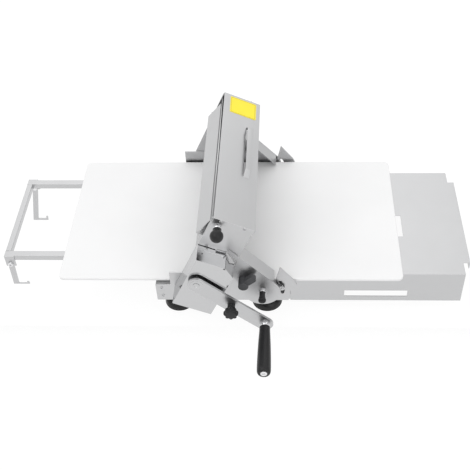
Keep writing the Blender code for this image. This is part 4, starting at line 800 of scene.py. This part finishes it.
def cross_screw(name, place, normal, body):
    """A small domed screw with a cross in its head."""
    profile = [(SCREW_R, 0.0)]
    for i in range(DOME_STEPS):
        angle = math.pi / 2 * i / DOME_STEPS
        profile.append((SCREW_R * math.cos(angle), -SCREW_RIM - (SCREW_DOME - SCREW_RIM) * math.sin(angle)))
    screw = turned(name, profile + [(0.0, -SCREW_DOME)], place, facing(normal))
    arm = SCREW_R * SCREW_CROSS_SHARE
    half = SCREW_CROSS_WIDTH / 2
    cross = []
    a, b, c = (arm, -half), (arm, half), (half, half)
    for _ in range(4):
        cross += [a, b, c]
        a, b, c = ((-q, p) for p, q in (a, b, c))
    cutter = plug(f"{name}_cross", cross, SCREW_DOME - SCREW_CROSS_DEEP, SCREW_DOME * 2, place, normal)
    smoothed(cut_away(screw, [cutter]))
    settle(screw, [STEEL_TURNED], BODY_OF[body])


def screws():
    """Screws on the hood's ends, the side panel's tabs, the cover's rim and the side plates' steps."""
    for side, outward in (("front", -1), ("back", 1)):
        normal = Vector((0.0, outward, 0.0))
        end = 0 if outward < 0 else 1
        for i, (u, w) in enumerate(FLANGE_SCREWS_UW):
            place = tower_point(u, w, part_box("hood_top")[end].y)
            cross_screw(f"hood_screw_{side}_{i + 1}", place, normal, "hood_top")
        place = tower_point(*TAB_SCREW_UW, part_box("hood_side_panel")[end].y)
        cross_screw(f"panel_screw_{side}", place, normal, "hood_side_panel")
        for i, (x, z) in enumerate(STEP_SCREWS_XZ):
            place = Vector((x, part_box(f"side_plate_{side}")[end].y, z))
            cross_screw(f"step_screw_{side}_{i + 1}", place, normal, f"side_plate_{side}")
    low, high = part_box("cover_rim")
    place = tower_point(RIM_SCREW_U, COVER_TOP_W, (low.y + high.y) / 2)
    cross_screw("rim_screw", place, tower_up(), "cover_rim")


def plate_loop(inset, w):
    """A rounded rectangle on the hood's top, drawn in by inset."""
    loop = []
    radius = PLATE_CORNER - inset / 2
    corners = ((1, 1, 0.0), (0, 1, 90.0), (0, 0, 180.0), (1, 0, 270.0))
    for right, far, start in corners:
        middle_u = PLATE_U[right] + (inset + radius) * (-1 if right else 1)
        middle_y = PLATE_Y[far] + (inset + radius) * (-1 if far else 1)
        for i in range(CORNER_STEPS + 1):
            angle = math.radians(start + 90.0 * i / CORNER_STEPS)
            u = middle_u + radius * math.cos(angle)
            y = middle_y + radius * math.sin(angle)
            loop.append(tower_point(u, w, y))
    return loop


def bare_plate():
    """A plain yellow plate with a thin border line on the hood's top."""
    up = tower_up()
    body = BODY_OF["hood_top"]
    foot = HOOD_TOP_W + PLATE_LIFT
    plate = slab("hood_plate", plate_loop(0.0, foot), up * PLATE_THICK)
    settle(plate, [YELLOW], body)
    top = foot + PLATE_THICK
    line = slab("hood_plate_line", plate_loop(PLATE_BORDER, top), up * PLATE_LINE_THICK)
    middle_loop = plate_loop(PLATE_BORDER + PLATE_LINE, top - PLATE_THICK)
    inner = slab("plate_middle", middle_loop, up * PLATE_THICK * 2)
    settle(cut_away(line, [inner]), [OCHRE], body)


# Stage: lights are place, aim, width and power

FLOOR_SIZE = 8.0
FLOOR_GLOW = 0.92
FLOOR_SHADE = 0.11
FLOOR_BOUNCE = 0.80
BENCH_EDGE_Y = -0.135
BENCH_DROP = 0.060
WORLD_LOW = 0.68
WORLD_HIGH = 1.18
WORLD_HEIGHT_SHARE = 0.7
WORLD_SIDE_SHARE = 0.3
WORLD_SIDE_REACH = 0.8
LIGHTS = {
    "key_light": ((-0.9, -0.7, 2.1), (0.0, 0.05, 0.1), 1.3, 6.0),
    "back_light": ((-0.1, 1.9, 1.7), (0.0, 0.05, 0.1), 2.6, 7.0),
    "front_light": ((1.5, -1.9, 1.3), (0.0, -0.1, 0.15), 1.4, 7.0),
}


def white_where_seen(tree, plain, glowing):
    """Mixes in a glow where the camera looks, straight, in metal or through glass."""
    paths = node(tree, "ShaderNodeLightPath")
    seen = node(tree, "ShaderNodeMath", operation="MAXIMUM")
    either = node(tree, "ShaderNodeMath", operation="MAXIMUM")
    tree.links.new(paths.outputs["Is Camera Ray"], seen.inputs[0])
    tree.links.new(paths.outputs["Is Glossy Ray"], seen.inputs[1])
    tree.links.new(seen.outputs[0], either.inputs[0])
    tree.links.new(paths.outputs["Is Transmission Ray"], either.inputs[1])
    mix = node(tree, "ShaderNodeMixShader")
    tree.links.new(either.outputs[0], mix.inputs[0])
    tree.links.new(plain, mix.inputs[1])
    tree.links.new(glowing, mix.inputs[2])
    return mix.outputs[0]


def floor_material():
    """Pale floor that shows white and keeps a soft shadow."""
    material, tree, shader = new_material("pale_floor")
    tree.nodes.remove(shader)
    plain = node(tree, "ShaderNodeBsdfDiffuse")
    plain.inputs["Color"].default_value = (FLOOR_BOUNCE, FLOOR_BOUNCE, FLOOR_BOUNCE, 1.0)
    shade = node(tree, "ShaderNodeBsdfDiffuse")
    shade.inputs["Color"].default_value = (FLOOR_SHADE, FLOOR_SHADE, FLOOR_SHADE, 1.0)
    glow = node(tree, "ShaderNodeEmission")
    glow.inputs["Strength"].default_value = FLOOR_GLOW
    lit = node(tree, "ShaderNodeAddShader")
    tree.links.new(shade.outputs[0], lit.inputs[0])
    tree.links.new(glow.outputs[0], lit.inputs[1])
    out = tree.nodes["Material Output"]
    tree.links.new(white_where_seen(tree, plain.outputs[0], lit.outputs[0]), out.inputs["Surface"])
    return material


def floor():
    """The bench's top, with the lower floor in front of it that the crank's handle sweeps over."""
    shape = bmesh.new()
    half = FLOOR_SIZE / 2
    under = BENCH_EDGE_Y + BENCH_DROP
    lines = ((half, 0.0), (BENCH_EDGE_Y, 0.0), (under, -BENCH_DROP), (-half, -BENCH_DROP))
    rows = [[shape.verts.new((x, y, z)) for x in (-half, half)] for y, z in lines]
    for near, far in zip(rows, rows[1:]):
        shape.faces.new((near[0], near[1], far[1], far[0]))
    bmesh.ops.recalc_face_normals(shape, faces=shape.faces)
    obj = linked("pale_floor", shape)
    obj.data.materials.append(floor_material())


def soft_light(name, place, aim, size, power):
    """A square lamp that looks at its aim."""
    light = bpy.data.lights.new(name, "AREA")
    light.shape = "SQUARE"
    light.size = size
    light.energy = power
    obj = bpy.data.objects.new(name, light)
    obj.location = place
    obj.rotation_euler = (Vector(aim) - Vector(place)).to_track_quat("-Z", "Y").to_euler()
    bpy.context.scene.collection.objects.link(obj)


def world_light():
    """A pale sky, a little darker to the right and low down."""
    world = bpy.data.worlds.new("pale_room")
    bpy.context.scene.world = world
    world.use_nodes = True
    tree = world.node_tree
    sky = tree.nodes["Background"]
    place = node(tree, "ShaderNodeTexCoord")
    split = node(tree, "ShaderNodeSeparateXYZ")
    tree.links.new(place.outputs["Generated"], split.inputs[0])
    height = ranged(tree, split.outputs["Z"], 0.0, WORLD_HEIGHT_SHARE, 0.0, 1.0)
    side = ranged(tree, split.outputs["X"], WORLD_SIDE_SHARE, 0.0, -WORLD_SIDE_REACH, WORLD_SIDE_REACH)
    both = summed(tree, height, side)
    tree.links.new(toned(tree, both, (WORLD_LOW,) * 3, (WORLD_HIGH,) * 3, 0.0, 1.0), sky.inputs["Color"])


def camera():
    data = bpy.data.cameras.new("photo_camera")
    data.lens = CAMERA_LENS_MM
    data.sensor_width = CAMERA_SENSOR_MM
    data.shift_x = CAMERA_SHIFT
    obj = bpy.data.objects.new("photo_camera", data)
    turn = rotation("Z", CAMERA_YAW_DEG) @ rotation("X", 90.0 - CAMERA_DOWN_DEG)
    turn = turn @ rotation("Z", CAMERA_ROLL_DEG)
    obj.matrix_world = Matrix.Translation(CAMERA_PLACE) @ turn
    bpy.context.scene.collection.objects.link(obj)
    bpy.context.scene.camera = obj


bpy.context.scene.view_settings.view_transform = "Standard"
flat_pieces()
plain_nodes()
crank_hub()
star_knob()
grip_pieces()
index_knob()
plunger_collar()
lock_knob()
wing_knob_skin()
wing_knob_stud()
leg_bolts()
suction_cups()
screws()
bare_plate()
floor()
world_light()
for light_name, settings in LIGHTS.items():
    soft_light(light_name, *settings)
camera()
